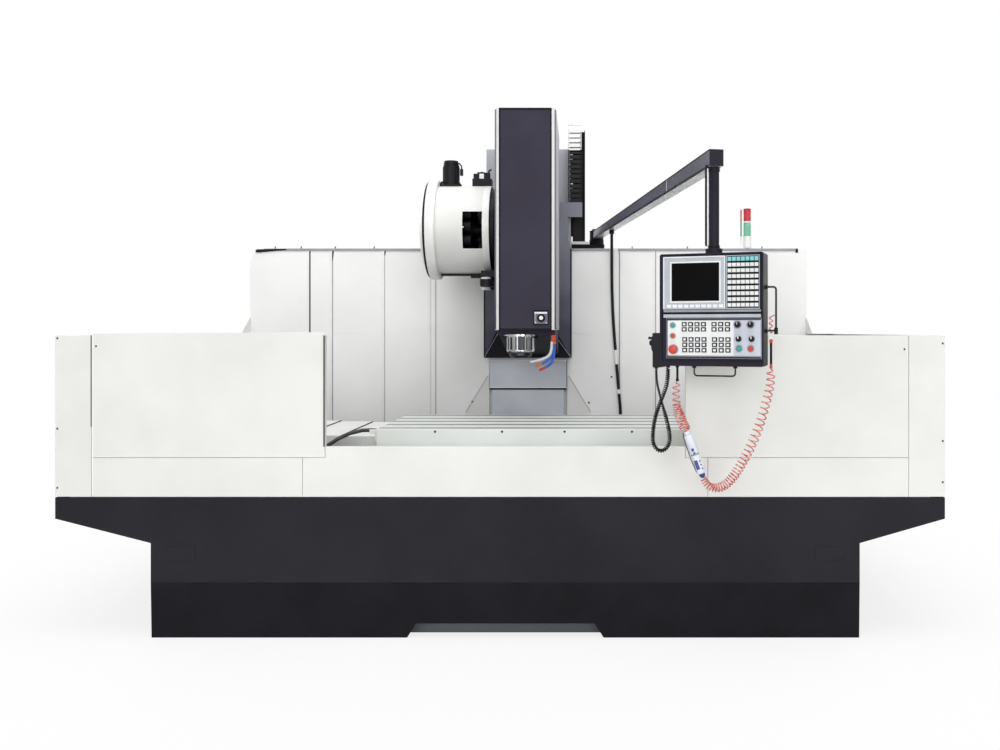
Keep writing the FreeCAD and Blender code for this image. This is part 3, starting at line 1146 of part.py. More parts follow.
def pendant():
    front = -PENDANT_Y - PENDANT_DEPTH / 2
    back = front + PENDANT_DEPTH
    x = (645, 1060)
    z = (PENDANT_TOP - 449, PENDANT_TOP - 1)
    shell = block("pendant_box", x, (front, back), z)
    shape = rounded("pendant_round", shell, 9, along("y"))
    collar = rod("pendant_collar", "z", (PENDANT_X, -PENDANT_Y, PENDANT_TOP - 2), 34, 21.5)
    recess = block("pendant_recess", (654, 1055), (front - 1, front + 8), (1186, 1610))
    holes = []
    for name, hx, hz, radius in BUTTONS:
        holes.append(rod(f"{name}_bore", "y", (hx, front + 5, hz), radius + 0.4, 34))
    bored = cut("pendant_bored", shape, recess, *holes)
    cable_boss = rod("cord_gland_right", "z", (667.6, -1314.5, 1160), 8, 10)
    lead_boss = rod("lead_gland", "z", (706.9, -1315.1, 1162), 7, 8)
    hung("pendant_housing", fuse("pendant_set", bored, collar, cable_boss, lead_boss))

    y = front + 8
    plate_low = block("lower_plate", (672, 1053), (y - 6, y), (1200, 1360))
    plate_top = block("upper_plate", (658, 1045), (y - 6, y), (1395, 1606))
    strip = block("middle_strip", (661, 1050), (y - 8, y), (1364, 1376))
    window = block("screen_cutout", (694, 886), (y - 7, y - 1.5), (1428, 1579))
    cuts = []
    for name, hx, hz, radius in BUTTONS:
        cuts.append(rod(f"{name}_hole", "y", (hx, y - 10, hz), radius + 0.4, 14))
    selectors = []
    for n, sx in enumerate((963.5, 1014.5)):
        knob = rod(f"selector_{n}", "y", (sx, y - 18, 1278), 9, 13)
        bar = block(f"selector_{n}_bar", (sx - 2.5, sx + 2.5), (y - 26, y - 14), (1269, 1287))
        selectors += [knob, bar]
    plates = cut("fascia_cut", fuse("fascia_plates", plate_low, plate_top, strip), window, *cuts)
    hung("pendant_fascia", fuse("fascia_set", plates, *selectors))
    glass = block("screen_glass", (694.3, 885.7), (y - 5.5, y - 1.5), (1428.3, 1578.7))
    hung("pendant_screen", group("screen_set", glass))

    face = y - 6
    keys = key_grid("pad", (925, 1041), (1402, 1600), 7, 9, face)
    keys += key_grid("soft", (678, 905), (1397, 1415), 10, 1, face, 0.3)
    keys += key_grid("mode", (733, 837), (1305, 1344), 4, 2, face)
    keys += key_grid("axis", (853, 933), (1310, 1346), 3, 2, face)
    keys += key_grid("tool", (735, 839), (1227, 1284), 4, 3, face)
    keys += key_grid("jog", (855, 935), (1227, 1285), 3, 3, face)
    hung("pendant_keys", group("key_set", *keys))

    handles = []
    bar_z = 1129
    for n, hx in enumerate((774, 940)):
        handles.append(rod(f"handle_post_{n}", "z", (hx, -PENDANT_Y, bar_z), 6, z[0] - bar_z))
        handles.append(ball(f"handle_corner_{n}", (hx, -PENDANT_Y, bar_z), 6))
    handles.append(rod("handle_bar", "x", (774, -PENDANT_Y, bar_z), 6, 166))
    for n, hz in enumerate((1310, 1482)):
        handles.append(rod(f"side_post_{n}", "x", (x[1], -PENDANT_Y, hz), 5, 40.5))
        handles.append(ball(f"side_corner_{n}", (1100.5, -PENDANT_Y, hz), 5))
    handles.append(rod("side_bar", "z", (1100.5, -PENDANT_Y, 1310), 5, 172))
    pair = group("handle_pair", fuse("low_handle", *handles[:5]), fuse("side_handle", *handles[5:]))
    hung("pendant_handles", pair)

    box = block("wheel_box", (614, x[0]), (front + 4, front + 96), (1162, 1301))
    axle = rod("wheel_axle", "x", (598, -PENDANT_Y, 1258), 6, 17)
    gland = rod("wheel_gland", "z", (620.3, -1321.1, 1156), 8, 7)
    hung("handwheel_box", fuse("wheel_box_set", box, axle, gland))
    disc = rod("wheel_disc", "x", (602, -PENDANT_Y, 1258), 36, 10)
    hole = rod("wheel_disc_hole", "x", (601, -PENDANT_Y, 1258), 6.3, 12)
    knob = rod("wheel_knob", "x", (586, -PENDANT_Y, 1282), 7, 17)
    hung("handwheel", fuse("wheel_set", cut("wheel_disc_cut", disc, hole), knob))

    for name, hx, hz, radius in BUTTONS:
        if name == "e_stop":
            stem = rod("e_stop_stem", "y", (hx, y - 14, hz), radius, 34)
            cap = rod("e_stop_cap", "y", (hx, y - 27, hz), 17, 14)
            hung(name, fuse("e_stop_set", cap, stem))
        elif name.endswith("override_knob"):
            stem = rod(f"{name}_body", "y", (hx, y - 22, hz), radius, 40)
            mark = block(f"{name}_mark", (hx - 1, hx + 1), (y - 24, y - 21), (hz, hz + radius - 2))
            hung(name, fuse(f"{name}_set", stem, mark))
        else:
            hung(name, group(f"{name}_set", rod(f"{name}_cap", "y", (hx, y - 14, hz), radius, 34)))


BUTTONS = [
    ("e_stop", 701.5, 1236, 12),
    ("cycle_start", 965.5, 1240, 10),
    ("feed_hold", 1010.5, 1240, 10),
    ("power_on", 699.5, 1332, 8),
    ("power_off", 699.5, 1290, 8),
    ("feed_override_knob", 959.5, 1334, 12),
    ("spindle_override_knob", 1010.5, 1334, 12),
]


# ---------------------------------------------------------------- cords
def tube_along(name, points, diameter):
    """A round tube along straight runs joined by tangent arcs."""
    corners = [V(*p) for p in points]
    runs = [(b - a).Length for a, b in zip(corners, corners[1:])]
    edges = []
    here = corners[0]
    radii = []
    for n in range(1, len(corners) - 1):
        before = (corners[n] - corners[n - 1]).normalize()
        after = (corners[n + 1] - corners[n]).normalize()
        half = before.getAngle(after) / 2
        leg = 0.45 * min(runs[n - 1], runs[n])
        radii.append(leg / math.tan(half))
        start = corners[n] - before * leg
        end = corners[n] + after * leg
        inward = (after - before).normalize()
        centre = corners[n] + inward * (leg / math.sin(half))
        middle = centre - inward * radii[-1]
        edges.append(Part.LineSegment(here, start).toShape())
        edges.append(Part.Arc(start, middle, end).toShape())
        here = end
    edges.append(Part.LineSegment(here, corners[-1]).toShape())
    path = Part.Wire(edges)
    circle = Part.makeCircle(diameter / 2, corners[0], corners[1] - corners[0])
    solid = path.makePipeShell([Part.Wire([circle])], True, False)
    made = doc.addObject("Part::Feature", name)
    made.Shape = solid
    ideal = math.pi * diameter * diameter / 4 * path.Length
    print(f"{name}: length {path.Length:.0f} mm, radii {min(radii):.0f} to {max(radii):.0f} mm,"
          f" volume {solid.Volume / ideal:.4f} of section x length")
    return made


COIL_CORD = [
    (628.9, -1240, 1156), (628.9, -1240, 1109), (640.9, -1243, 1060.8), (656.6, -1244, 1006),
    (678.3, -1243, 949), (696.8, -1240, 891.8), (697.2, -1238, 856.9), (672.8, -1236, 832),
    (638.3, -1234, 831), (614, -1232, 856.2), (614.6, -1230, 890.7), (624.6, -1228, 947.6),
    (643.1, -1228, 1004.6), (662, -1236, 1057), (675.6, -1250, 1110), (675.6, -1250, 1160),
]
GUN_START = (748.4, -1270, 905.1)
GUN_END = (813.7, -1280, 721)
HOSE_LEFT = [
    (712.3, -1264, 1106), (712.3, -1264, 1058), (718.5, -1266, 1003), (732.4, -1267.55, 950.3), GUN_START,
]
HOSE_RIGHT = [
    GUN_END, (826.4, -1281.95, 685.2), (876.7, -1290, 674.3), (923.3, -1300, 710), (965.3, -1312, 779.8),
    (1004.7, -1326, 861.3), (1033.5, -1342, 946.4), (1053, -1362, 1030), (1067, -1383, 1104),
    (1067, -1383, 1162),
]
BOOM_CABLE = [
    (513.6, 742, 1902.4), (513.6, 742, 1727), (515, 743, 1540), (524, 744, 1345), (540, 743, 1140),
    (556, 742, 940), (571, 743, 780), (571, 743, 636),
]
COIL_CORD_SIZE = dim("coil_cord_outer_diameter", 12)
HOSE_SIZE = dim("coil_hose_outer_diameter", 36)
BOOM_CABLE_SIZE = dim("boom_cable_diameter", 20)


def cords():
    keep("coil_cord", tube_along("coil_cord_tube", COIL_CORD, COIL_CORD_SIZE.value))
    keep("hose_left", tube_along("hose_left_tube", HOSE_LEFT, HOSE_SIZE.value))
    keep("hose_right", tube_along("hose_right_tube", HOSE_RIGHT, HOSE_SIZE.value))
    keep("boom_cable", tube_along("boom_cable_tube", BOOM_CABLE, BOOM_CABLE_SIZE.value))
    lead = rod("hose_lead", "z", (706.9, -1315.1, 1106), 3, 56)
    strap = block("strap_band", (1076, 1086), (-1307.6, -1303.6), (1170, 1305))
    fork = rod("strap_end", "z", (1080.9, -1305.6, 1162), 6, 14)
    hung("hose_leads", group("hose_lead_set", lead, fuse("strap_set", strap, fork)))
    start = V(*GUN_START)
    end = V(*GUN_END)
    axis = end - start
    turn = FreeCAD.Rotation(V(0, 0, 1), axis)
    long = axis.Length
    parts = []
    steps = ((0, 14, 13), (14, 96, 20), (96, 120, 17), (120, 180, 19), (180, long, 12))
    for n, (low, high, radius) in enumerate(steps):
        at = start + axis * (low / long)
        piece = doc.addObject("Part::Cylinder", f"gun_part_{n}")
        bind(piece, "Radius", radius)
        bind(piece, "Height", high - low)
        piece.Placement = FreeCAD.Placement(at, turn)
        parts.append(piece)
    keep("air_gun", fuse("air_gun_set", *parts))


def beacon():
    x = RIGHT_REACH - 521
    y = REAR + 15
    foot = block("beacon_foot", (x - 46, x + 34), (REAR, REAR + 40), (REAR_TOP, REAR_TOP + 5))
    base = rod("beacon_body", "z", (x, y, REAR_TOP + 4), 26, 71)
    pole = rod("beacon_pole", "z", (x - 38, y, REAR_TOP + 4), 4.5, 236)
    keep("beacon_base", fuse("beacon_base_set", foot, base, pole))
    green = rod("beacon_green", "z", (x, y, REAR_TOP + 75), 24, 84)
    ring = rod("beacon_ring", "z", (x, y, REAR_TOP + 159), 21, 10)
    red = rod("beacon_red", "z", (x, y, REAR_TOP + 169), 24, 72)
    top = rod("beacon_top", "z", (x, y, REAR_TOP + 241), 25, 6)
    keep("beacon_lenses", group("beacon_lens_set", green, ring, red, top))


def finish():
    doc.recompute()
    os.makedirs("parts", exist_ok=True)
    wrong = [o.Name for o in doc.Objects if "Invalid" in o.State or "Error" in o.State]
    for name, made in nodes.items():
        shape = getattr(made, "Shape", None)
        if shape is None or shape.isNull() or not shape.isValid():
            wrong.append(name)
    if wrong:
        raise RuntimeError("objects that did not come out: " + ", ".join(wrong))
    for name, made in nodes.items():
        made.Shape.exportStep(f"parts/{name}.step")
    print(f"{len(nodes)} sub-parts written")


for make in (
    base, bed, saddle, table, way_covers, guards, column, head, chain, magazine, boom, pendant,
    cords, beacon, finish,
):
    make()
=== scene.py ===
"""Bed-type machining centre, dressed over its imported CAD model."""
import json
import math

import bmesh
import bpy
from mathutils import Matrix, Vector


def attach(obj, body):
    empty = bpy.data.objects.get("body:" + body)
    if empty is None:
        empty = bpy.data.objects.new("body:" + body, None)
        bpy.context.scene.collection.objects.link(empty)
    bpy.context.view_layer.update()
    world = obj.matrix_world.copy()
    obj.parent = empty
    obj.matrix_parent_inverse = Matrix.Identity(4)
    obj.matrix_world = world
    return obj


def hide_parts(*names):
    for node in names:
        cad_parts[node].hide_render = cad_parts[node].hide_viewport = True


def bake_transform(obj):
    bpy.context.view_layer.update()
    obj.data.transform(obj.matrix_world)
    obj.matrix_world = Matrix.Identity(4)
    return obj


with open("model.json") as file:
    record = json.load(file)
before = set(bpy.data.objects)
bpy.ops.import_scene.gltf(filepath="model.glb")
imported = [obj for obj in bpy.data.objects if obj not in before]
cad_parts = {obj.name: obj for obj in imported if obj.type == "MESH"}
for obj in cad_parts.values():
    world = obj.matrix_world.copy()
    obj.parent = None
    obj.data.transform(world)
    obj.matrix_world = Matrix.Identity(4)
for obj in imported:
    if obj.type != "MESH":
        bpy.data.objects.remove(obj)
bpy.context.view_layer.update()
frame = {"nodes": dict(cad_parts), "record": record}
NODES = frame["nodes"]
SLOT_OF = {part["node"]: part["material_slot"] for part in frame["record"]["subparts"]}
BODY_OF = {node: body for body, held in frame["record"]["behaviour"]["bodies"].items() for node in held}
MM = 0.001


# ------------------------------------------------------------------ camera, light and floor
def placed(name, data, location=(0, 0, 0), rotation=(0, 0, 0)):
    """A new object in the scene."""
    made = bpy.data.objects.new(name, data)
    bpy.context.scene.collection.objects.link(made)
    made.location, made.rotation_euler = location, rotation
    return made


def studio():
    """Level camera in front of the machine, soft lamps and a white room."""
    scene = bpy.context.scene
    scene.view_settings.view_transform = "Standard"
    view = bpy.data.cameras.new("camera")
    view.lens, view.sensor_width, view.clip_end = 34.34, 36, 60
    view.shift_x, view.shift_y = -0.080, -0.0448
    scene.camera = placed("camera", view, (0.3185, -5.121, 1.312), (math.radians(90), 0, 0))
    for name, place, aim, size, power in (
        ("key_lamp", (-8, -32, 9), (0, -0.4, 1.0), 17.0, 2150),
        ("fill_lamp", (11, -32, 7.5), (0.2, -0.4, 1.0), 17.0, 2500),
        ("top_lamp", (0.4, -2.4, 8.5), (0.2, 0.3, 0.9), 6.0, 430),
        ("back_lamp_left", (-20, 26, 12), (0, 0.4, 1.0), 17.0, 1700),
        ("back_lamp_right", (20, 26, 12), (0, 0.4, 1.0), 17.0, 1700),
    ):
        lamp = bpy.data.lights.new(name, "AREA")
        lamp.shape, lamp.size, lamp.energy = "DISK", size, power
        placed(name, lamp, place, (Vector(aim) - Vector(place)).to_track_quat("-Z", "Y").to_euler())
    world = bpy.data.worlds.new("room")
    scene.world = world
    world.use_nodes = True
    tree = world.node_tree
    sky = tree.nodes["Background"]
    sky.inputs["Color"].default_value = tone("ffffff")
    sky.inputs["Strength"].default_value = 0.34
    paper = add(tree, "ShaderNodeBackground", {"Color": tone("ffffff"), "Strength": 1.0})
    both = add(tree, "ShaderNodeMixShader", {0: seen_directly(tree), 1: sky, 2: paper})
    tree.links.new(both.outputs[0], tree.nodes["World Output"].inputs["Surface"])


def seen_directly(tree):
    """1 for rays from the camera, from a mirror or through glass, 0 for the rays that light things."""
    path = add(tree, "ShaderNodeLightPath").outputs
    seen = add(tree, "ShaderNodeMath", {0: path["Is Camera Ray"], 1: path["Is Glossy Ray"]},
               operation="MAXIMUM")
    return add(tree, "ShaderNodeMath", {0: seen, 1: path["Is Transmission Ray"]}, operation="MAXIMUM")


def floor():
    """White studio floor that keeps a faint shadow of the machine near it."""
    mesh = bpy.data.meshes.new("floor")
    mesh.from_pydata([(-30, -12, 0), (30, -12, 0), (30, 40, 0), (-30, 40, 0)], [], [(0, 1, 2, 3)])
    material, tree, shader, place = surface("pale_floor", "f6f6f5", 0.7)
    glow = add(tree, "ShaderNodeEmission", {"Color": tone("ffffff"), "Strength": 1.0})
    away = add(tree, "ShaderNodeVectorMath", {0: place}, operation="LENGTH").outputs["Value"]
    fade = add(tree, "ShaderNodeMapRange",
               {"Value": away, "From Min": 1.6, "From Max": 3.4, "To Min": 0.8, "To Max": 1.0},
               interpolation_type="SMOOTHSTEP")
    share = add(tree, "ShaderNodeMath", {0: seen_directly(tree), 1: fade}, operation="MULTIPLY")
    mix = add(tree, "ShaderNodeMixShader", {0: share, 1: shader, 2: glow})
    tree.links.new(mix.outputs[0], tree.nodes["Material Output"].inputs["Surface"])
    mesh.materials.append(material)
    placed("floor", mesh)


# ------------------------------------------------------------------ nodes and colours
def tone(code):
    """A linear colour from its sRGB hex code."""
    parts = [int(code[n:n + 2], 16) / 255 for n in (0, 2, 4)]
    line = [c / 12.92 if c <= 0.04045 else ((c + 0.055) / 1.055) ** 2.4 for c in parts]
    return (*line, 1.0)


def add(tree, kind, inputs=None, **settings):
    """Adds one node with its settings. A socket or a node is linked, so is each of a list of them,
    and anything else is set as the input's value."""
    made = tree.nodes.new(kind)
    for key, value in settings.items():
        setattr(made, key, value)
    for key, value in (inputs or {}).items():
        for each in value if isinstance(value, list) else [value]:
            if isinstance(each, bpy.types.Node):
                each = each.outputs[0]
            if isinstance(each, bpy.types.NodeSocket):
                tree.links.new(each, made.inputs[key])
            else:
                made.inputs[key].default_value = each
    return made


def surface(name, colour, rough, metal=0.0, **sockets):
    """A material with one Principled shader and its object coordinates."""
    made = bpy.data.materials.new(name)
    made.use_nodes = True
    tree = made.node_tree
    shader = tree.nodes["Principled BSDF"]
    given = {"Base Color": tone(colour), "Roughness": rough, "Metallic": metal}
    given.update({key.replace("_", " "): value for key, value in sockets.items()})
    for key, value in given.items():
        shader.inputs[key].default_value = value
    made.diffuse_color = tone(colour)
    return made, tree, shader, add(tree, "ShaderNodeTexCoord").outputs["Object"]


def grain(tree, place, millimetres, detail, stretch=(1, 1, 1)):
    """Noise whose cells are a real size, drawn out along an axis where stretch is small."""
    spread_out = add(tree, "ShaderNodeMapping", {"Vector": place, "Scale": stretch})
    return add(tree, "ShaderNodeTexNoise",
               {"Vector": spread_out, "Scale": 1000 / millimetres, "Detail": detail}).outputs["Fac"]


def relief(tree, shader, height, depth, strength):
    """Lets a height, whose full depth is in millimetres, tilt the shine."""
    bump = add(tree, "ShaderNodeBump", {"Height": height, "Distance": depth * MM, "Strength": strength})
    tree.links.new(bump.outputs[0], shader.inputs["Normal"])


def stain(tree, shader, mask, low, high, clean, dirty):
    """Two colours of one surface, mixed by a mask between low and high."""
    fade = add(tree, "ShaderNodeMapRange", {"Value": mask, "From Min": low, "From Max": high})
    mix = add(tree, "ShaderNodeMix", {0: fade, 6: tone(clean), 7: tone(dirty)}, data_type="RGBA")
    tree.links.new(mix.outputs[2], shader.inputs["Base Color"])


def vary(tree, shader, mask, low, high):
    """A roughness that follows a mask from low to high."""
    fade = add(tree, "ShaderNodeMapRange", {"Value": mask, "To Min": low, "To Max": high})
    tree.links.new(fade.outputs[0], shader.inputs["Roughness"])


def painted_sheet(name, clean, dirty, rough, peel=2.5, cloud_size=420, shine=0.3):
    """Powder coat on sheet steel. It levels with a fine orange peel and dulls in soft patches."""
    made, tree, shader, place = surface(name, clean, rough, Specular_IOR_Level=shine)
    cloud = grain(tree, place, cloud_size, 4.0)
    stain(tree, shader, cloud, 0.38, 0.72, clean, dirty)
    vary(tree, shader, cloud, rough - 0.06, rough + 0.1)
    relief(tree, shader, grain(tree, place, peel, 1.0), 0.05, 0.25)
    return made


def brushed_steel(name, clean, dirty, rough, stretch=(0.02, 1, 1), metal=1.0):
    """Belt-ground steel. The belt leaves fine straight lines that spread the shine across them. They are
    drawn 3 mm apart, as coarse as they need to be to show."""
    made, tree, shader, place = surface(name, clean, rough, metal)
    lines = grain(tree, place, 3.0, 2.0, stretch)
    cloud = grain(tree, place, 260, 3.0)
    stain(tree, shader, cloud, 0.3, 0.75, clean, dirty)
    vary(tree, shader, lines, rough - 0.08, rough + 0.12)
    relief(tree, shader, lines, 0.03, 0.3)
    return made


def top_lit_enamel(name, clean, highlight_tone, low, high):
    """Dark enamel on the tall slide, painted lighter upwards between two heights in metres: a painted
    highlight for the light on its upper part, mottled by a cloud.
    """
    made, tree, shader, place = surface(name, clean, 0.45, Specular_IOR_Level=0.2)
    height = add(tree, "ShaderNodeSeparateXYZ", {0: place}).outputs["Z"]
    cloud = grain(tree, place, 160, 4.0)
    cloud_share = 0.35
    mottled_height = add(tree, "ShaderNodeMath", {0: cloud, 1: cloud_share, 2: height}, operation="MULTIPLY_ADD")
    # The cloud lifts the height by 0.17 m on average
    stain(tree, shader, mottled_height.outputs[0], low + 0.17, high + 0.17, clean, highlight_tone)
    vary(tree, shader, cloud, 0.42, 0.6)
    relief(tree, shader, grain(tree, place, 3.0, 1.0), 0.05, 0.25)
    return made


def moulded(name, clean, dirty, rough, texture=1.2, **sockets):
    """Injection-moulded plastic with a spark-eroded grain."""
    made, tree, shader, place = surface(name, clean, rough, **sockets)
    stain(tree, shader, grain(tree, place, 60, 3.0), 0.35, 0.75, clean, dirty)
    relief(tree, shader, grain(tree, place, texture, 1.0), 0.03, 0.2)
    return made


def ground_table():
    """Ground cast iron: pale grey with lines along the table, and a dark film of oil beside each T-slot."""
    made, tree, shader, place = surface("ground_cast_iron", "d9dcd9", 0.42, 0.1)
    lines = grain(tree, place, 3.0, 2.0, (0.05, 1, 1))
    across = add(tree, "ShaderNodeSeparateXYZ", {0: place}).outputs["Y"]
    # The slots lie 160 mm apart about y = -0.38, and the oil shows 20 mm to each side of a slot
    slot_pitch, middle = 0.16, 0.38
    step = add(tree, "ShaderNodeMath", {0: across, 1: 1 / slot_pitch, 2: middle / slot_pitch + 0.5},
               operation="MULTIPLY_ADD")
    beside = add(tree, "ShaderNodeMath", {0: step, 1: 0.5}, operation="PINGPONG")
    stain(tree, shader, beside.outputs[0], 0.32, 0.40, "d9dcd9", "6f716e")
    vary(tree, shader, lines, 0.36, 0.54)
    relief(tree, shader, lines, 0.03, 0.3)
    return made


def clear_hose():
    """Clear red polyurethane hose. Pink and red mix in patches along it, painted light for the light that its
    wall lets through.
    """
    made, tree, shader, place = surface("clear_red_hose", "ee9085", 0.25, Transmission_Weight=0.2)
    stain(tree, shader, grain(tree, place, 9, 1.0), 0.42, 0.62, "f8b4a8", "d2484a")
    relief(tree, shader, grain(tree, place, 2.0, 1.0), 0.03, 0.2)
    return made


# One finish for each material slot of the record, then those of single pieces
FINISH = {
    # Textured powder coat on the base: bluish charcoal, matt, dulled by coolant in broad patches
    "base_paint": painted_sheet("charcoal_powder_coat", "25252b", "1e1d23", 0.55, 4.0, shine=0.12),
    # Off-white powder coat on the guards: satin and neutral
    "guard_paint": painted_sheet("off_white_powder_coat", "e9e9e6", "dfe0dc", 0.42),
    # Two-part enamel over filled castings: smooth, with a violet cast in the dark
    "cast_paint": painted_sheet("dark_casting_enamel", "3a3745", "322f3c", 0.48, 3.0, shine=0.12),
    "column_paint": painted_sheet("light_casting_enamel", "e4e8e5", "d8ddda", 0.45, 6.0),
    "bed_paint": painted_sheet("grey_casting_enamel", "585d60", "4c5154", 0.5, 6.0),
    "rail_steel": brushed_steel("ground_rail_steel", "a5a8ac", "8b8e92", 0.28),
    # Stainless covers on the column ways: bluish grey under a film of oil
    "cover_steel": brushed_steel("way_cover_steel", "ccd0d8", "b9bdc5", 0.42, metal=0.1),
    "table_iron": ground_table(),
    # Paler copy of the table iron for the table's front faces: painted light against the shade from the
    # guards
    "table_edge": brushed_steel("table_front_painted_light", "f2f6f1", "e6eae5", 0.5, (0.05, 1, 1), 0.0),
    "spindle_chrome": brushed_steel("hard_chrome", "e6e8ea", "d2d5d8", 0.14, (1, 1, 0.05)),
    "drum_paint": painted_sheet("black_enamel", "18171c", "131316", 0.42, shine=0.15),
    # Vacuum-formed drum cap: white, glossier than the painted drum
    "cap_plastic": moulded("cap_moulding", "f7f7f5", "f0f0ee", 0.35),
    "black_plastic": moulded("black_nylon", "17171a", "1f1f22", 0.5, Specular_IOR_Level=0.2),
    "pendant_paint": painted_sheet("pendant_enamel", "27242f", "201e28", 0.45, shine=0.12),
    "fascia_paint": moulded("fascia_film", "b9bfc9", "aeb4be", 0.4),
    # Switched-off display behind a hard coat: black, with a weak sharp reflection
    "screen_glass": moulded("display_glass", "060607", "040405", 0.18, 40, Specular_IOR_Level=0.06),
    "key_plastic": moulded("key_caps", "eef0f0", "e4e6e6", 0.42),
    "red_plastic": moulded("red_cap", "d2402f", "bf3426", 0.3),
    "green_plastic": moulded("green_cap", "35a196", "2d9389", 0.3),
    "wire_steel": brushed_steel("bright_wire", "7d8084", "66696d", 0.3),
    "cord_rubber": moulded("cord_rubber", "141417", "1b1b1e", 0.55, Specular_IOR_Level=0.2),
    "hose_plastic": clear_hose(),
    "gun_plastic": moulded("gun_moulding", "e6eaf2", "dbe0ea", 0.32),
    "nozzle_plastic": moulded("nozzle_links", "3f6fdc", "3560c8", 0.34),
    "lens_plastic": moulded("beacon_lens", "b98a68", "a97d5e", 0.3),
    # Lighter copy of the guard white: painted light against the shade inside the enclosure
    "wall_paint": painted_sheet("white_wall_painted_light", "f8f8f6", "f1f2ef", 0.45),
    # Darker paint below the fold of the base front: painted shade for the lower sheet, which tilts away from
    # the light
    "kick_paint": painted_sheet("kick_zone_painted_shade", "1c1b20", "17161a", 0.65, 4.0, 180, 0.08),
    # Slide enamel painted lighter towards the top, a painted highlight
    "slide_paint": top_lit_enamel("slide_enamel", "4f4e5c", "83858f", 1.32, 1.86),
    "bracket_grey": painted_sheet("cast_bracket_enamel", "74737f", "5f5e6a", 0.5, 3.0, shine=0.2),
    "dark_wire": brushed_steel("dark_plated_wire", "303136", "232428", 0.35, metal=0.6),
    # Near-black enamel used as painted shade on undersides, shaded sides, hollows and shadow lines, and on
    # some dark trim
    "shade_paint": painted_sheet("painted_shade_enamel", "141318", "0e0d11", 0.5, 5.0, shine=0.12),
    "column_grey": painted_sheet("column_grey_enamel", "b7b8c0", "a5a6af", 0.45, 4.0),
    # Lighter copy of the boom's dark paint for its left side: painted light
    "boom_side": painted_sheet("boom_side_painted_light", "70707c", "5d5d69", 0.4, 3.0, shine=0.25),
    # Steel of the spindle nose, darkened as painted shade under the head; the same dark steel makes the lands
    # and keys on the chrome
    "nose_steel": brushed_steel("nose_steel_painted_shade", "4a4b50", "37383c", 0.3, (1, 1, 0.05)),
    # Printed film of the right part of the operator panel: a cooler, paler grey
    "fascia_pale": moulded("pale_fascia_film", "cdd2de", "bfc5d2", 0.4, 14.0),
    "trim_white": moulded("white_trim", "f4f4f2", "ececea", 0.35),
    "trim_grey": moulded("grey_trim", "9a9ca2", "8b8d94", 0.4),
    "cover_white": brushed_steel("wiped_cover_steel", "f0f1ee", "e2e4e0", 0.4, metal=0.1),
    # Foam seal along the left door opening, browned by coolant
    "edge_seal": moulded("foam_edge_seal", "4a3f3a", "3a312d", 0.7),
    # Way wiper: nitrile, scuffed grey by swarf
    "wiper_rubber": moulded("scuffed_wiper_rubber", "3c3c3e", "6c6d6e", 0.6, 9.0),
    "gasket_rubber": moulded("gasket_rubber", "18171b", "121114", 0.6, 3.0, Specular_IOR_Level=0.15),
    "key_teal": moulded("teal_key_caps", "8cd3d6", "7cc6ca", 0.4),
    "red_lens": moulded("red_lens", "e23344", "d32a3b", 0.18, Transmission_Weight=0.2),
    "green_lens": moulded("green_lens", "8fd9bb", "7fcfae", 0.18, Transmission_Weight=0.2),
    "nozzle_tip": moulded("orange_nozzle_tips", "ef7a3a", "e06a2c", 0.34),
    "blue_band": moulded("blue_bands", "33418f", "2b3880", 0.34),
    "zinc_plate": brushed_steel("zinc_plated_strip", "cfd2d2", "aeb1b2", 0.3, (1, 0.03, 1), 0.6),
    "screw_steel": brushed_steel("blackened_screws", "3a3b40", "2e2f33", 0.35, metal=0.8),
}
for node_name, node_object in NODES.items():
    if node_object.material_slots:
        node_object.material_slots[0].material = FINISH[SLOT_OF[node_name]]
    else:
        node_object.data.materials.append(FINISH[SLOT_OF[node_name]])
studio()
floor()


# ------------------------------------------------------------------ mesh making, in millimetres
AXES = {"x": (1, 2, 0), "y": (0, 2, 1), "z": (0, 1, 2)}

# The pendant hangs turned about its drop tube, with its right side nearer to the operator
PENDANT = Vector((0.8545, -1.305, 0))
HUNG = Matrix.Translation(PENDANT) @ Matrix.Rotation(math.radians(-20), 4, "Z") @ Matrix.Translation(-PENDANT)


def spatial(axis, a, b, along):
    """A point from its two places in a section and its place along the axis."""
    point = [0, 0, 0]
    for place, value in zip(AXES[axis], (a, b, along)):
        point[place] = value
    return point


def circle(steps, radius, centre=(0, 0), shift=0.0):
    """Places round a circle, the first one turned by a share of a step."""
    turns = [2 * math.pi * (n + shift) / steps for n in range(steps)]
    return [(centre[0] + radius * math.cos(t), centre[1] + radius * math.sin(t)) for t in turns]


def prism(axis, section, low, high):
    """A section pushed along an axis from low to high."""
    return [[spatial(axis, a, b, along) for a, b in section] for along in (low, high)]


def box(x, y, z):
    return prism("z", [(x[0], y[0]), (x[1], y[0]), (x[1], y[1]), (x[0], y[1])], *z)


def plates(y, *spots):
    """Boxes of one thickness, seen from the front."""
    return [box(x, y, z) for x, z in spots]


def lathe(axis, centre, profile, steps):
    """A profile of (along, radius) pairs turned about an axis through centre."""
    return [[spatial(axis, a, b, along) for a, b in circle(steps, max(radius, 0.02), centre)]
            for along, radius in profile]


def ring(axis, centre, ends, radii, steps):
    """A collar between two ends and two radii."""
    return lathe(axis, centre, [(ends[0], radii[0]), (ends[0], radii[1]), (ends[1], radii[1]),
                                (ends[1], radii[0])], steps)


def upright(side, ahead):
    """The side of a line's last place, squared to the way that the line goes ahead now."""
    side = ahead.orthogonal().normalized() if side is None else side
    return (side - ahead * side.dot(ahead)).normalized()


def tube(points, radius, steps=12):
    """A round bar through points, with mitred corners."""
    spots = [Vector(p) for p in points]
    rows = []
    side = None
    for n, spot in enumerate(spots):
        before = (spot - spots[n - 1]).normalized() if n else (spots[1] - spot).normalized()
        after = (spots[n + 1] - spot).normalized() if n + 1 < len(spots) else before
        ahead = (before + after).normalized()
        side = upright(side, ahead)
        up = ahead.cross(side)
        rows.append([spot + (side * a + up * b) * radius for a, b in circle(steps, 1)])
    return rows


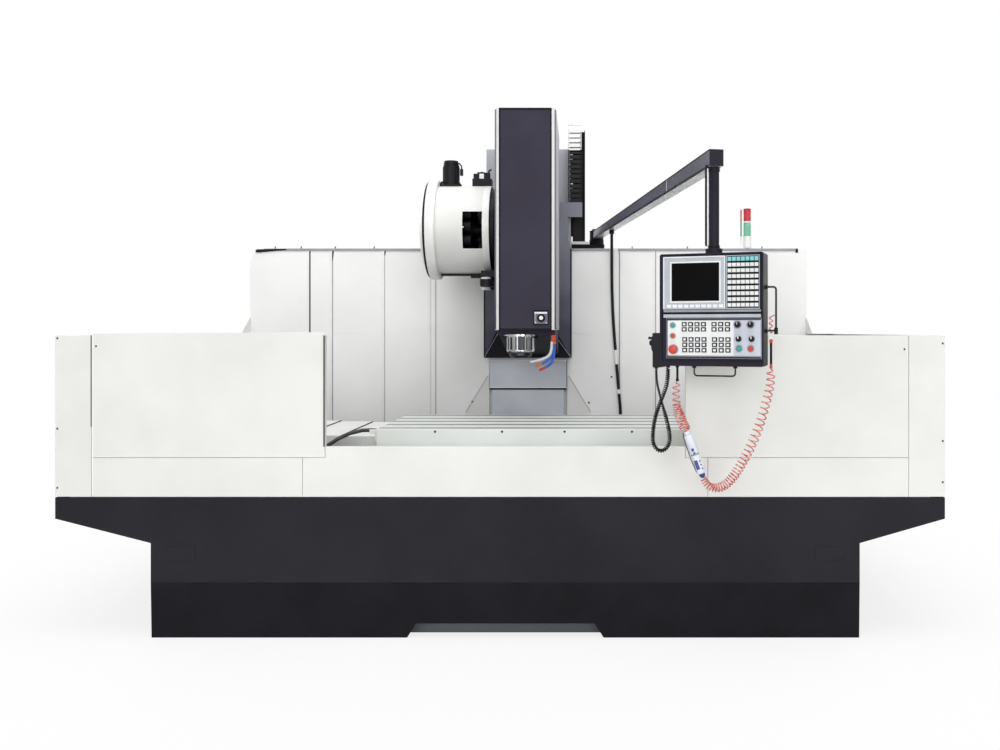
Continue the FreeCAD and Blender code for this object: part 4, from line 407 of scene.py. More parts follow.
def piece(name, body=None, bevel=0.0, turn=None, stands_for=(), closed=False, **solids):
    """One piece of the machine from lists of solids, each list under its finish. A solid is rows of
    points: each row is a ring, and its two ends are capped, or meet when the piece is closed."""
    work = bmesh.new()
    for slot, parts in enumerate(solids.values()):
        for rows in parts:
            rings = [[work.verts.new(Vector(p) * MM) for p in row] for row in rows]
            made = [] if closed else [work.faces.new(rings[0][::-1]), work.faces.new(rings[-1])]
            for low, high in zip(rings, rings[1:] + rings[:1] if closed else rings[1:]):
                made += [work.faces.new((low[n - 1], low[n], high[n], high[n - 1])) for n in range(len(low))]
            for face in made:
                face.material_index = slot
            bmesh.ops.recalc_face_normals(work, faces=made)
    mesh = worked(work, name, solids)
    if turn is not None:
        mesh.transform(turn)
    made = settle(name, mesh, body, bevel, stands_for)
    first = next(iter(solids))
    return made


def worked(work, name, finishes):
    """The mesh made in a workbench, with its finishes."""
    mesh = bpy.data.meshes.new(name)
    work.to_mesh(mesh)
    work.free()
    for finish in finishes:
        mesh.materials.append(FINISH[finish])
    return mesh


def settle(name, mesh, body=None, bevel=0.0, stands_for=()):
    """Puts a finished mesh in the scene, smooth but for its real edges."""
    real_edge = math.radians(32)
    mesh.shade_smooth()
    mesh.set_sharp_from_angle(angle=real_edge)
    made = placed(name, mesh)
    if bevel:
        soft = made.modifiers.new("soft_edges", "BEVEL")
        soft.width = bevel * MM
        soft.segments = 2
        soft.limit_method = "ANGLE"
        soft.angle_limit = real_edge
        soft.use_clamp_overlap = True
        soft.harden_normals = True
    if body:
        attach(made, body)
    if stands_for:
        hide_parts(*stands_for)
    return made


def dressed(node, bevel, paint=None, levels=()):
    """A copy of a CAD node with merged faces and softened edges. The faces are parted at the heights in
    levels, and then paint picks a finish for each, or none for the finish of the node."""
    same_place, same_plane = 2e-5, math.radians(0.5)
    work = bmesh.new()
    work.from_mesh(NODES[node].data)
    bmesh.ops.remove_doubles(work, verts=work.verts, dist=same_place)
    bmesh.ops.dissolve_limit(work, angle_limit=same_plane, verts=work.verts, edges=work.edges)
    for height in levels:
        whole = [*work.verts, *work.edges, *work.faces]
        bmesh.ops.bisect_plane(work, geom=whole, plane_co=(0, 0, height * MM), plane_no=(0, 0, 1))
    used = [SLOT_OF[node]]
    for face in work.faces:
        choice = paint and paint(face.calc_center_median() / MM, face.normal) or used[0]
        if choice not in used:
            used.append(choice)
        face.material_index = used.index(choice)
    mesh = worked(work, f"{node}_dressed", used)
    made = settle(f"{node}_dressed", mesh, BODY_OF[node], bevel, (node,))
    return made


# ------------------------------------------------------------------ Geometry Nodes
def grown(name, build, sizes, spots, body, finish, turn=None, lines=False):
    """Runs a Geometry Nodes tree on a mesh of places and keeps the plain mesh that it makes."""
    base = bpy.data.meshes.new(f"{name}_places")
    edges = [(n, n + 1) for n in range(len(spots) - 1)] if lines else []
    base.from_pydata([Vector(p) * MM for p in spots], edges, [])
    seed = placed(f"{name}_places", base)
    tree = bpy.data.node_groups.new(name, "GeometryNodeTree")
    tree.interface.new_socket("Places", in_out="INPUT", socket_type="NodeSocketGeometry")
    tree.interface.new_socket("Made", in_out="OUTPUT", socket_type="NodeSocketGeometry")
    keys = {}
    for word, value in sizes.items():
        kind = "NodeSocketVector" if isinstance(value, tuple) else "NodeSocketFloat"
        keys[word] = tree.interface.new_socket(word, in_out="INPUT", socket_type=kind).identifier
    unit = build(tree, add(tree, "NodeGroupInput").outputs)
    real = add(tree, "GeometryNodeRealizeInstances", {0: unit})
    painted = add(tree, "GeometryNodeSetMaterial", {"Geometry": real, "Material": FINISH[finish]})
    add(tree, "NodeGroupOutput", {0: painted})
    grow = seed.modifiers.new("grow", "NODES")
    grow.node_group = tree
    for word, value in sizes.items():
        grow[keys[word]] = value
    made = bpy.data.meshes.new_from_object(seed.evaluated_get(bpy.context.evaluated_depsgraph_get()))
    made.name = name
    bpy.data.objects.remove(seed)
    if turn is not None:
        made.transform(turn)
    return settle(name, made, body)


def at_places(tree, given, unit, **turned):
    """The unit at each vertex of the places."""
    points = add(tree, "GeometryNodeMeshToPoints", {"Mesh": given["Places"]})
    return add(tree, "GeometryNodeInstanceOnPoints", {"Points": points, "Instance": unit, **turned})


def along_line(tree, given, unit):
    """The unit at each pitch of the line through the places, turned with it."""
    line = add(tree, "GeometryNodeMeshToCurve", {"Mesh": given["Places"]})
    points = add(tree, "GeometryNodeCurveToPoints", {"Curve": line, "Length": given["Pitch"]}, mode="LENGTH")
    return add(tree, "GeometryNodeInstanceOnPoints",
               {"Points": points, "Instance": unit, "Rotation": points.outputs["Rotation"]})


def screw_tree(tree, given):
    """Button-head socket screws: a domed head with a hexagon on it."""
    radius, height = given["Radius"], given["Height"]
    crown, key, tall = (add(tree, "ShaderNodeMath", {0: size, 1: share}, operation="MULTIPLY")
                        for size, share in ((radius, 0.62), (radius, 0.42), (height, 1.12)))
    head = add(tree, "GeometryNodeMeshCone",
               {"Vertices": 14, "Radius Top": crown, "Radius Bottom": radius, "Depth": height})
    hexagon = add(tree, "GeometryNodeMeshCone",
                  {"Vertices": 6, "Radius Top": key, "Radius Bottom": key, "Depth": tall})
    unit = add(tree, "GeometryNodeJoinGeometry", {0: [head, hexagon]})
    return at_places(tree, given, unit, Rotation=given["Turn"])


def key_tree(tree, given):
    """Key caps: square cones with a flat top that face the operator."""
    cap = add(tree, "GeometryNodeMeshCone",
              {"Vertices": 4, "Radius Top": 0.62, "Radius Bottom": 0.7071, "Depth": 1.0})
    for change in ({"Rotation": (0, 0, math.radians(45))}, {"Scale": given["Size"]},
                   {"Rotation": TO_OPERATOR}):
        cap = add(tree, "GeometryNodeTransform", {"Geometry": cap, **change})
    return at_places(tree, given, cap)


def rib_tree(tree, given):
    """Straight ribs of one box section."""
    return at_places(tree, given, add(tree, "GeometryNodeMeshCube", {"Size": given["Size"]}))


def link_tree(tree, given):
    """Chain links: a body between two raised side plates."""
    body, plate = (add(tree, "GeometryNodeMeshCube", {"Size": given[word]}) for word in ("Body", "Plate"))
    flip = add(tree, "ShaderNodeVectorMath", {0: given["Side"], 1: (-1, -1, -1)}, operation="MULTIPLY")
    left, right = (add(tree, "GeometryNodeTransform", {"Geometry": plate, "Translation": side})
                   for side in (given["Side"], flip))
    return along_line(tree, given, add(tree, "GeometryNodeJoinGeometry", {0: [body, left, right]}))


def bead_tree(tree, given):
    """Ball-and-socket hose links: a collar and a ball at each step."""
    radius = given["Radius"]
    waist = add(tree, "ShaderNodeMath", {0: radius, 1: 0.7}, operation="MULTIPLY")
    collar = add(tree, "GeometryNodeMeshCone",
                 {"Vertices": 14, "Radius Top": waist, "Radius Bottom": radius, "Depth": given["Pitch"]})
    ball = add(tree, "GeometryNodeMeshUVSphere", {"Segments": 14, "Rings": 7, "Radius": radius})
    return along_line(tree, given, add(tree, "GeometryNodeJoinGeometry", {0: [collar, ball]}))


TO_OPERATOR = (math.radians(90), 0.0, 0.0)


def screws(name, spots, body, radius, height):
    sizes = {"Radius": radius * MM, "Height": height * MM, "Turn": TO_OPERATOR}
    return grown(name, screw_tree, sizes, spots, body, "screw_steel")


def key_caps(name, x, z, columns, rows, face, finish, share, rise=3.5):
    """Rows of key caps between two corners of the fascia."""
    step_x = (x[1] - x[0]) / columns
    step_z = (z[1] - z[0]) / rows
    spots = [(x[0] + step_x * (c + 0.5), face, z[0] + step_z * (r + 0.5))
             for c in range(columns) for r in range(rows)]
    size = (step_x * share[0] * MM, step_z * share[1] * MM, rise * MM)
    return grown(name, key_tree, {"Size": size}, spots, "pendant", finish, HUNG)


# ------------------------------------------------------------------ cords
COIL_CORD = [
    (628.9, -1240, 1156), (628.9, -1240, 1109), (640, -1243, 1060.8), (654, -1244, 1006),
    (670.5, -1243, 949), (683, -1240, 891.8), (683.5, -1238, 852), (664, -1236, 822.5),
    (636, -1234, 819.5), (616, -1232, 847), (614.6, -1230, 888), (622.6, -1228, 947.6),
    (640.1, -1228, 1004.6), (661, -1236, 1057), (675.6, -1250, 1110), (675.6, -1250, 1160),
]
GUN_START = (748.4, -1270, 905.1)
GUN_END = (813.7, -1280, 721)
HOSE_LEFT = [
    (710.3, -1264, 1106), (705.3, -1264, 1058), (709.5, -1266, 1003), (726.4, -1267.55, 950.3), GUN_START,
]
HOSE_RIGHT = [
    GUN_END, (826.4, -1281.95, 685.2), (876.7, -1290, 674.3), (923.3, -1300, 710), (965.3, -1312, 779.8),
    (1004.7, -1326, 861.3), (1033.5, -1342, 946.4), (1053, -1362, 1030), (1067, -1383, 1104),
    (1067, -1383, 1162),
]
BOOM_CABLE = [
    (513.6, 742, 1902.4), (513.6, 742, 1727), (515, 743, 1540), (524, 744, 1345), (540, 743, 1140),
    (556, 742, 940), (571, 743, 780), (571, 743, 636),
]


def line_curve(name, points):
    """A smooth open line that its control points lead."""
    curve = bpy.data.curves.new(name, "CURVE")
    curve.dimensions = "3D"
    spline = curve.splines.new("NURBS")
    spline.points.add(len(points) - 1)
    for spot, point in zip(spline.points, points):
        spot.co = (*(Vector(point) * MM), 1)
    spline.order_u = 3
    spline.use_endpoint_u = True
    spline.resolution_u = 12
    return placed(name, curve)


def followed(name, route):
    """The points of a route's smooth line, close together."""
    made = line_curve(f"{name}_route", route)
    mesh = bpy.data.meshes.new_from_object(made.evaluated_get(bpy.context.evaluated_depsgraph_get()))
    points = [v.co / MM for v in mesh.vertices]
    bpy.data.objects.remove(made)
    return points


def travelled(points):
    """The distance along a line at each of its points."""
    gone = [0.0]
    for a, b in zip(points, points[1:]):
        gone.append(gone[-1] + (b - a).length)
    return gone


def helix(points, radius_at, pitch_at, steps):
    """Turns about a line. The radius grows from nothing over most of the first turn and goes back at the
    last."""
    gone = travelled(points)
    whole = gone[-1]
    made = []
    here = turn = 0.0
    index = 0
    side = None
    while here < whole:
        while index + 1 < len(gone) - 1 and gone[index + 1] < here:
            index += 1
        share = (here - gone[index]) / (gone[index + 1] - gone[index])
        spot = points[index].lerp(points[index + 1], share)
        ahead = (points[index + 1] - points[index]).normalized()
        side = upright(side, ahead)
        up = ahead.cross(side)
        pitch, radius = pitch_at(here / whole), radius_at(here / whole)
        swell = between(min(here, whole - here), 0, 0.8 * pitch, 0, 1)
        made.append(spot + (side * math.cos(turn) + up * math.sin(turn)) * radius * swell)
        turn += 2 * math.pi / steps
        here += pitch / steps
    made.append(points[-1])
    return made


def drawn_round(curve, diameter, roundness, finish):
    """Gives a line its thickness, flat ends and finish."""
    curve.bevel_depth = diameter / 2 * MM
    curve.bevel_resolution = roundness
    curve.use_fill_caps = True
    curve.materials.append(FINISH[finish])


def coiled(name, route, wire, radius_at, pitch_at, finish, node, steps=14):
    """A coiled cord of the pendant: a round wire wound about the route."""
    turns = helix(followed(name, route), radius_at, pitch_at, steps)
    made = line_curve(name, turns)
    made.data.splines[0].resolution_u = 2
    drawn_round(made.data, wire, 1, finish)
    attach(made, "pendant")
    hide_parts(node)
    travelled(turns)[-1] * MM


def between(share, low, high, first, last):
    """A value that goes smoothly from first to last while share goes from low to high."""
    t = min(1.0, max(0.0, (share - low) / (high - low)))
    return first + (last - first) * t * t * (3 - 2 * t)


def air_gun():
    """White barrel of the blow gun, with a wire lever at its left and dark fittings low on its front."""
    start, end = Vector(GUN_START), Vector(GUN_END)
    whole = (end - start).length
    ahead = (end - start).normalized()
    left = Vector((-1, 0, 0))
    left = (left - ahead * left.dot(ahead)).normalized()
    turn = Matrix.Translation(start * MM) @ Matrix((left, ahead.cross(left), ahead)).transposed().to_4x4()
    lever = [(15, -3, 2), (20.4, -4, 20), (22, -4, 60), (22, -4, 120), (18, -4, 170)]
    piece(
        "blow_gun", "pendant", 0.5, turn, ("air_gun",),
        gun_plastic=[lathe("z", (0, 0), profile, 24) for profile in (
            [(0, 7), (0, 13.2), (6, 14.4), (14, 14.4), (16, 12), (16, 7)],
            [(16, 9), (16, 17), (20, 19.4), (92, 19.4), (96, 17), (96, 9)],
            [(102, 9), (102, 17), (106, 18.7), (176, 18.7), (180, 15), (180, 9)],
        )],
        trim_grey=[ring("z", (0, 0), (96, 102), (9, 17.2), 24)],
        blue_band=[
            lathe("z", (0, 0), [(180, 5), (180, 12.4), (whole - 4, 11.6), (whole, 8), (whole, 5)], 24),
            *(box((side - size, side + size), (-19.8, -14), (low, high)) for low, high, side, size in (
                (72, 84, 4, 5), (88, 96, 2, 4), (122, 160, 8, 7), (126, 132, -8, 3), (142, 147, -8, 3),
                (158, 163, -8, 3))),
        ],
        gasket_rubber=[tube(lever, 1.7)],
    )


def hose_lead():
    """The straight air lead at the left and the strap and snap hook at the right."""
    lead = (706.9, -1315.1)
    wave = [(1081 + 7 * math.sin(n * 1.3), -1307 - 3 * math.cos(n * 1.3), 1303 + 4.2 * n) for n in range(16)]
    piece(
        "hose_fittings", "pendant", 0.4, HUNG, ("hose_leads",),
        cord_rubber=[lathe("z", lead, [(1106, 4.6), (1162, 4.6)], 14)],
        drum_paint=[lathe("z", lead, [(1106, 4), (1106, 6.4), (1114, 6.4), (1118, 4)], 14)],
        gasket_rubber=[box((1076.4, 1085.6), (-1307, -1304.2), (1176, 1303))],
        red_plastic=[
            box((1074.5, 1087.5), (-1308.4, -1302.8), (1262, 1274)),
            lathe("z", (1080.9, -1305.6), [(1162, 3), (1162, 5.8), (1174, 5.8), (1178, 3)], 16),
        ],
        trim_white=[box((1075.5, 1086.5), (-1308, -1303.2), (1276, 1300))],
        hose_plastic=[tube([*wave, (1098, -1305, 1372)], 2.6, 10)],
    )


def cords():
    air_gun()
    hose_lead()
    coiled("wheel_cord", COIL_CORD, 5.6, lambda t: between(t, 0.17, 0.3, 3.0, 6.8), lambda t: 8.6,
           "cord_rubber", "coil_cord", 12)
    coiled("air_hose_left", HOSE_LEFT, 5.2, lambda t: between(t, 0.3, 0.7, 14.0, 19.5),
           lambda t: between(t, 0.36, 0.5, 24.0, 8.6), "hose_plastic", "hose_left")
    coiled("air_hose_right", HOSE_RIGHT, 5.2,
           lambda t: between(t, 0.0, 0.2, 13.0, 18.5) - between(t, 0.5, 0.9, 0.0, 2.5),
           lambda t: between(t, 0.12, 0.6, 10.0, 24.0), "hose_plastic", "hose_right")
    cable = line_curve("boom_cable_line", BOOM_CABLE)
    drawn_round(cable.data, 18, 3, "cord_rubber")
    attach(cable, "frame")
    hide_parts("boom_cable")
    route = followed("cable_length", BOOM_CABLE)
    for n, (low, high) in enumerate(((1094, 1200), (902, 950))):
        inside = [p for p in route if low < p.z < high]
        piece(f"cable_sleeve_{n}", "frame", trim_white=[tube(inside[::2], 12, 20)])
    travelled(route)[-1] * MM


# ------------------------------------------------------------------ base and guards
def base_and_guards():
    fold, front, wall = 238, -1060, 760
    # Below the fold the base front takes the darker kick paint, a painted shade
    dressed("base_front_panel", 2.0, lambda middle, normal: "kick_paint" if middle.z < fold - 1 else None)
    dressed("base_skirt", 0.0)
    for node in ("guard_front", "guard_end_posts", "guard_sides"):
        dressed(node, 0.9)
    # The rear wall takes the lighter white, a painted light
    dressed("guard_rear", 1.0, lambda middle, normal: "wall_paint")
    spots = [(-1907, 1278), (-1907, 893), (-1907, 641), (1863, 1256), (1863, 840), (1863, 665),
             (-1742, 1244), (1700, 1231)]
    screws("guard_screws", [(x, front, z) for x, z in spots], "frame", 4.5, 2.5)
    piece("door_edge_seal", "frame", 0.5,
          edge_seal=[box((-774, -768), (front - 2.5, front + 1), (816, 1290)),
                     box((-1765, -1760), (front - 0.8, front + 1), (900, 1290))],
          trim_white=[box((-1759.5, -1754), (front - 0.8, front + 1), (612, 1290))])
    lip = [(-1757, 1286), (-768, 1286), (-768, 1304), (-1757, 1298)]
    piece("door_top_lip", "frame", 0.8, guard_paint=[prism("y", lip, front, front + 3)])
    head = 1808
    height = (640, head)
    seams = {"gasket_rubber": [], "trim_white": [], "trim_grey": []}
    for x, wide in ((-1349, 8), (-1208, 6), (-886, 4), (-571, 5), (-600, 2), (559, 8), (783, 6), (1250, 3)):
        left = x - 1.6
        dark = seams["gasket_rubber" if x == -1349 else "trim_grey"]
        dark.append(box((left, left + wide), (wall - 1.2, wall + 0.5), height))
        side = 24 if x == 559 else 0
        seams["trim_white"].append(box((x - 16 + side, left + side), (wall - 3, wall + 0.5), height))
    for x, foot in ((-1208, 1740), (-886, 1772)):
        gap = [(x - 2, foot), (x + 3, foot), (x + 10, head), (x - 4, head)]
        seams["gasket_rubber"].append(prism("y", gap, wall - 1.6, wall))
    piece("rear_wall_seams", "frame", **seams)
    bent = [(-1680, 1793), (-1668, 1790), (-1490, 1806), (-1490, 1813), (-1668, 1811), (-1680, 1806)]
    piece("rear_wall_flange", "frame", 0.6,
          trim_grey=[box(x, (wall - 4, wall + 1), (1800, 1815.5))
                     for x in ((-1627, -240), (240, 500), (552, 1650))],
          gasket_rubber=[box((1646, 1662), (wall - 4, wall + 1), (1790, 1815)),
                         prism("y", bent, wall - 6, wall - 3)])
    studs = [(x, wall, 1818) for x in (-1560, -1400, -1190, -950, 640, 980, 1440)]
    grown("rear_wall_studs", rib_tree, {"Size": (0.006, 0.006, 0.02)}, studs, "frame", "screw_steel")
    piece("base_lift_plates", "frame", 1.0,
          base_paint=[box((x - 60, x + 60), (front - 2, front + 1), (330, 390)) for x in (-1380, 1380)])


# ------------------------------------------------------------------ table and way covers
def part_way(t_value):
    """The place between 0 and 1 at which the smooth fade of a blended piece reaches a value."""
    low, high = 0.0, 1.0
    for _ in range(40):
        middle = (low + high) / 2
        if between(middle, 0, 1, 0, 1) < t_value:
            low = middle
        else:
            high = middle
    return (low + high) / 2


def spread(made, bodies, axis, fixed, moving, share_fixed, share_moving):
    """Works out the start and end of a blend whose two ends follow given shares of the motion between two
    bodies, and bakes the piece's transform; the blend is not set up.
    """
    t_fixed, t_moving = part_way(share_fixed), part_way(share_moving)
    reach = (moving - fixed) / (t_moving - t_fixed)
    start = Vector((0, 0, 0))
    start[axis] = (fixed - t_fixed * reach) * MM
    end = start.copy()
    end[axis] += reach * MM
    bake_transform(made)


def way_cover(name, way, fixed, moving, count, tallest):
    """Nested cover stages from the fixed to the moving end, each with its wiper lip. They get lower from the
    tallest one, which is at the fixed or at the moving end."""
    bodies, axis, side, top, foot, finish = way
    sheet, play = 3.5, 3.8
    along = "xy"[axis]
    length = (moving - fixed) / count
    for n in range(count):
        drop = play * (n if tallest == "fixed" else count - 1 - n)
        near = fixed + length * n
        far = near + length
        low, high = sorted((near, far))
        left, right, crown = side[0] + drop, side[1] - drop, top - drop
        section = [
            (left, foot), (left, crown), (right, crown), (right, foot),
            (right - sheet, foot), (right - sheet, crown - sheet),
            (left + sheet, crown - sheet), (left + sheet, foot),
        ]
        wiper = [(left - 0.6, crown - 4), (left - 0.6, crown + 0.8), (right + 0.6, crown + 0.8),
                 (right + 0.6, crown - 4)]
        edge = far if tallest == "fixed" else near
        solids = {finish: [prism(along, section, low, high)],
                  "gasket_rubber": [prism(along, wiper, max(edge - 3, low), min(edge + 3, high))]}
        made = piece(f"{name}_{n}", **solids)
        spread(made, bodies, axis, near, far, n / count, (n + 1) / count)
        yield made


def covers():
    x_way = ("saddle", "table"), 0, (-738, -22), 838, 691, "cover_white"
    y_way = ("frame", "saddle"), 1, (-470, 470), 650, 504, "cover_steel"
    made = [*way_cover("x_cover_left", x_way, -1468, -612, 5, "fixed"),
            *way_cover("x_cover_right", x_way, 1468, 888, 3, "moving")]
    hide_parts("x_covers")
    made = [*way_cover("y_cover_front", y_way, -1025, -700, 3, "fixed"),
            *way_cover("y_cover_rear", y_way, 698, -60, 5, "moving")]
    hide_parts("y_covers")


def table():
    # The table's front faces take the paler copy of its iron, a painted light
    dressed("table", 1.2, lambda middle, normal: "table_edge" if normal.y < -0.9 else None)
    dressed("saddle", 2.0)
    left, right, near, strip_y = -612, 888, -760, -742
    screws("table_front_screws", [(x, near, 848) for x in (-344, -38, 248, 556)], "table", 5.5, 2.2)
    arc = [(left - 4, 852), (-640, 854), (-682, 852), (-740, 838), (-795, 812), (-843, 780)]
    piece("table_wiper_strip", "table", 0.5, wiper_rubber=[tube([(x, strip_y, z) for x, z in arc], 9)],
          cover_white=[box((left - 34, left), (-752, -748.5), (838, 858))])
    piece("table_end_troughs", "table", 1.5,
          table_iron=[box((x, x + 10), (-755, -5), (800, 850)) for x in (left - 10, right)])


# ------------------------------------------------------------------ head and column
COVER_FRONT = -210


def column_and_head():
    foot_top, slide_front, pan_top = 960, 690, 1300
    # Below the foot's top the column takes the lighter wall white, a painted light
    dressed("column", 6.0, lambda middle, normal: "column_grey" if middle.z > foot_top else "wall_paint",
            (foot_top,))
    dressed("column_shields", 0.8)

    def casting(middle, normal):
        bracket_left, bracket_foot, pan_back = 196, 1820, 604
        if middle.x > bracket_left and middle.z > bracket_foot:
            return "shade_paint" if normal.z < -0.5 else "bracket_grey"
        if middle.y > slide_front - 4 or middle.x > bracket_left:
            return "slide_paint"
        return "shade_paint" if middle.z < pan_top or middle.y > pan_back else None

    def cover(middle, normal):
        # The slanted bevels at the cover's front edges are white: painted highlights where the light catches
        # them
        slant = 0.3
        if abs(normal.x) > slant and normal.y < -slant:
            return "trim_white"
        return "column_grey" if abs(normal.x) > 0.9 else None

    dressed("head_casting", 2.0, casting)
    dressed("head_cover", 1.0, cover)
    front = COVER_FRONT
    # The dark strips beside the bevels and round the cover's front flat are painted shadow lines
    piece("head_cover_trim", "head",
          shade_paint=plates((front - 0.8, front + 0.5), ((-99, -91), (1316, 2446)),
                             ((165, 173), (1316, 2446)), ((-99, 173), (1314, 1321)),
                             ((-99, 173), (2446, 2457.5))),
          slide_paint=[prism("z", [(x + 14 * out, front + 13.4), (x + 22.4 * out, front + 21.8),
                                   (x + 21 * out, front + 23), (x + 13 * out, front + 15)], 1316, 2452)
                       for x, out in ((-100, -1), (173, 1))])
    piece("slide_edge_strips", "head",
          shade_paint=[box(x, (slide_front - 1, slide_front + 0.5), (1148, 1808))
                       for x in ((-267.5, -259), (259, 267.5))])
    piece("pan_edge_lips", "head",
          trim_grey=[tube([(foot, 603, 1152), (head, 603, top)], 1.8)
                     for foot, head, top in ((-254, -170, 1300), (262, 182, 1262))])


def spindle():
    flutes, keys = [], []
    for n, (x, y) in enumerate(circle(16, 1, (0, 0), 0.3)):
        side = 3.5 if n % 2 else 6.5
        land = [(x * out - y * across, y * out + x * across)
                for out, across in ((72, -side), (75.6, -side), (75.6, side), (72, side))]
        flutes.append(prism("z", land, 1208, 1276))
    for start, end in ((-98, -70), (-150, -144), (-36, -30)):
        arc = [math.radians(start + (end - start) * n / 6) for n in range(7)]
        key = [(r * math.cos(t), r * math.sin(t))
               for r, line in ((76.2, arc), (72, arc[::-1])) for t in line]
        keys.append(prism("z", key, 1206, 1280))
    piece("spindle_flutes", "head", nose_steel=flutes)
    # The nose takes the darkened steel, a painted shade
    NODES["spindle_nose"].material_slots[0].material = FINISH["nose_steel"]
    piece("spindle_drive_key", "head", 0.4, nose_steel=keys)
    piece("spindle_cap_bolts", "head", 0.3,
          screw_steel=[lathe("z", spot, [(1191.5, 4.6), (1192, 5.2), (1196, 5.2)], 12)
                       for spot in circle(6, 67, (0, 0), 0.5)])


def nozzles():
    """Ball-jointed coolant hoses: one of white links and two of blue, each with a tip of its own colour."""
    piece("nozzle_manifold", "head", 4, stands_for=("coolant_nozzles",),
          red_plastic=[box((166, 190), (-104, -72), (1252, 1289))],
          nozzle_tip=[lathe("z", (178, -88), [(1238, 6), (1238, 12), (1244, 14), (1254, 13), (1254, 6)], 24)])
    routes = (
        [(170, -98, 1246), (169, -97, 1206), (154, -92, 1174), (112, -86, 1157), (66, -80, 1146)],
        [(176, -88, 1246), (173, -88, 1196), (158, -86, 1160), (126, -82, 1138), (94, -78, 1126)],
        [(183, -76, 1246), (182, -79, 1190), (174, -80, 1146), (146, -79, 1118), (112, -78, 1104)],
    )
    for n, route in enumerate(routes):
        line = followed(f"nozzle_{n}", route)
        cut = len(line) * 4 // 5
        for part, spots, radius, pitch, finish in (
            ("hose", line[:cut], 8, 12, "nozzle_plastic" if n else "trim_white"),
            ("tip", line[cut:], 7, 11, ("trim_white", "nozzle_tip", "red_plastic")[n]),
        ):
            grown(f"nozzle_{part}_{n}", bead_tree, {"Radius": radius * MM, "Pitch": pitch * MM}, spots,
                  "head", finish, lines=True)


def tool_release():
    face, button = COVER_FRONT, (119, 1375)
    piece("release_frame", "head", 1.0,
          shade_paint=plates((face - 4, face + 0.5), ((79, 84), (1339, 1416)), ((151, 156), (1339, 1416)),
                             ((84, 151), (1339, 1345)), ((84, 151), (1407, 1416))))
    dressed("tool_release_box", 1.0,
            lambda middle, normal: "shade_paint" if middle.y < face - 14.5 else "bracket_grey")
    plate = (face - 14.6, face - 13.4)
    piece("release_shade", "head", 0.3,
          trim_white=[box((85, 150), plate, (1397, 1405))],
          trim_grey=[box((85, 91), plate, (1352, 1397))],
          zinc_plate=[lathe("y", (x, 1350), [(face - 13, 2), (face - 15.2, 3.4), (face - 15.6, 0)], 16)
                      for x in (91, 146)],
          shade_paint=[ring("y", button, (face - 15, face - 13), (16, 21), 32)])
    cap = [(face - 6, 8), (face - 23, 10.6), (face - 24.8, 9.6), (face - 25, 0)]
    piece("release_cap", "tool_release_button", 0.3, stands_for=("tool_release_button",),
          trim_white=[lathe("y", button, cap, 28)])


def way_cover_lines():
    """Fixed and sliding covers below the head, with the seam between them and the rolled edges."""
    dressed("z_cover_upper", 1.0)
    dressed("z_cover_lower", 1.0)
    piece("upper_cover_lip", "head", 0.4,
          gasket_rubber=[box((-236, 236), (722.4, 725), (948, 958))],
          trim_white=plates((722.8, 725), ((-236, 236), (958, 964)), ((-236, 236), (1120, 1132))))
    piece("shield_folds", "frame",
          trim_grey=[tube([(250 * side, 752, 1030), (384 * side, 752, 808)], 1.6) for side in (-1, 1)])
    screws("shield_screws", [(-345, 754, 872), (373, 754, 866), (513, 760, 1024)], "frame", 6, 3)


# ------------------------------------------------------------------ cable chain
def chain():
    """Front strand, turn and rear strand of the chain."""
    middle, width, link, pitch = 286, 82, 24, 27.4
    front_y, bend, turn_z, low_z, back_low = 710, 50, 2529, 2091, 2250
    bodies = ("frame", "head")
    sizes = {"Pitch": pitch * MM, "Body": ((width - 16) * MM, 20 * MM, (pitch - 6) * MM),
             "Plate": (5 * MM, link * MM, (pitch - 1.5) * MM), "Side": ((width / 2 - 2.5) * MM, 0.0, 0.0)}

    def strand(name, points, finish):
        return grown(name, link_tree, sizes, [(middle, y, z) for y, z in points], None, finish, lines=True)

    front = strand("chain_front_strand", [(front_y, low_z + 12), (front_y, 2400)], "black_plastic")
    upper = strand("chain_front_top", [(front_y, 2412), (front_y, turn_z)], "trim_white")
    for made in (front, upper):
        spread(made, bodies, 2, turn_z, low_z, 0.5, 1.0)
    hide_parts("cable_chain")
    arc = [(front_y + bend - bend * math.cos(t), turn_z + bend * math.sin(t))
           for t in [math.pi * n / 12 for n in range(1, 12)]]
    turn = strand("chain_turn_links", arc, "trim_white")
    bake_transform(turn)
    rear_y = front_y + 2 * bend
    rear = strand("chain_rear_strand", [(rear_y, turn_z), (rear_y, back_low)], "black_plastic")
    spread(rear, bodies, 2, back_low, turn_z, 0.0, 0.5)
    dressed("chain_guide", 0.8)


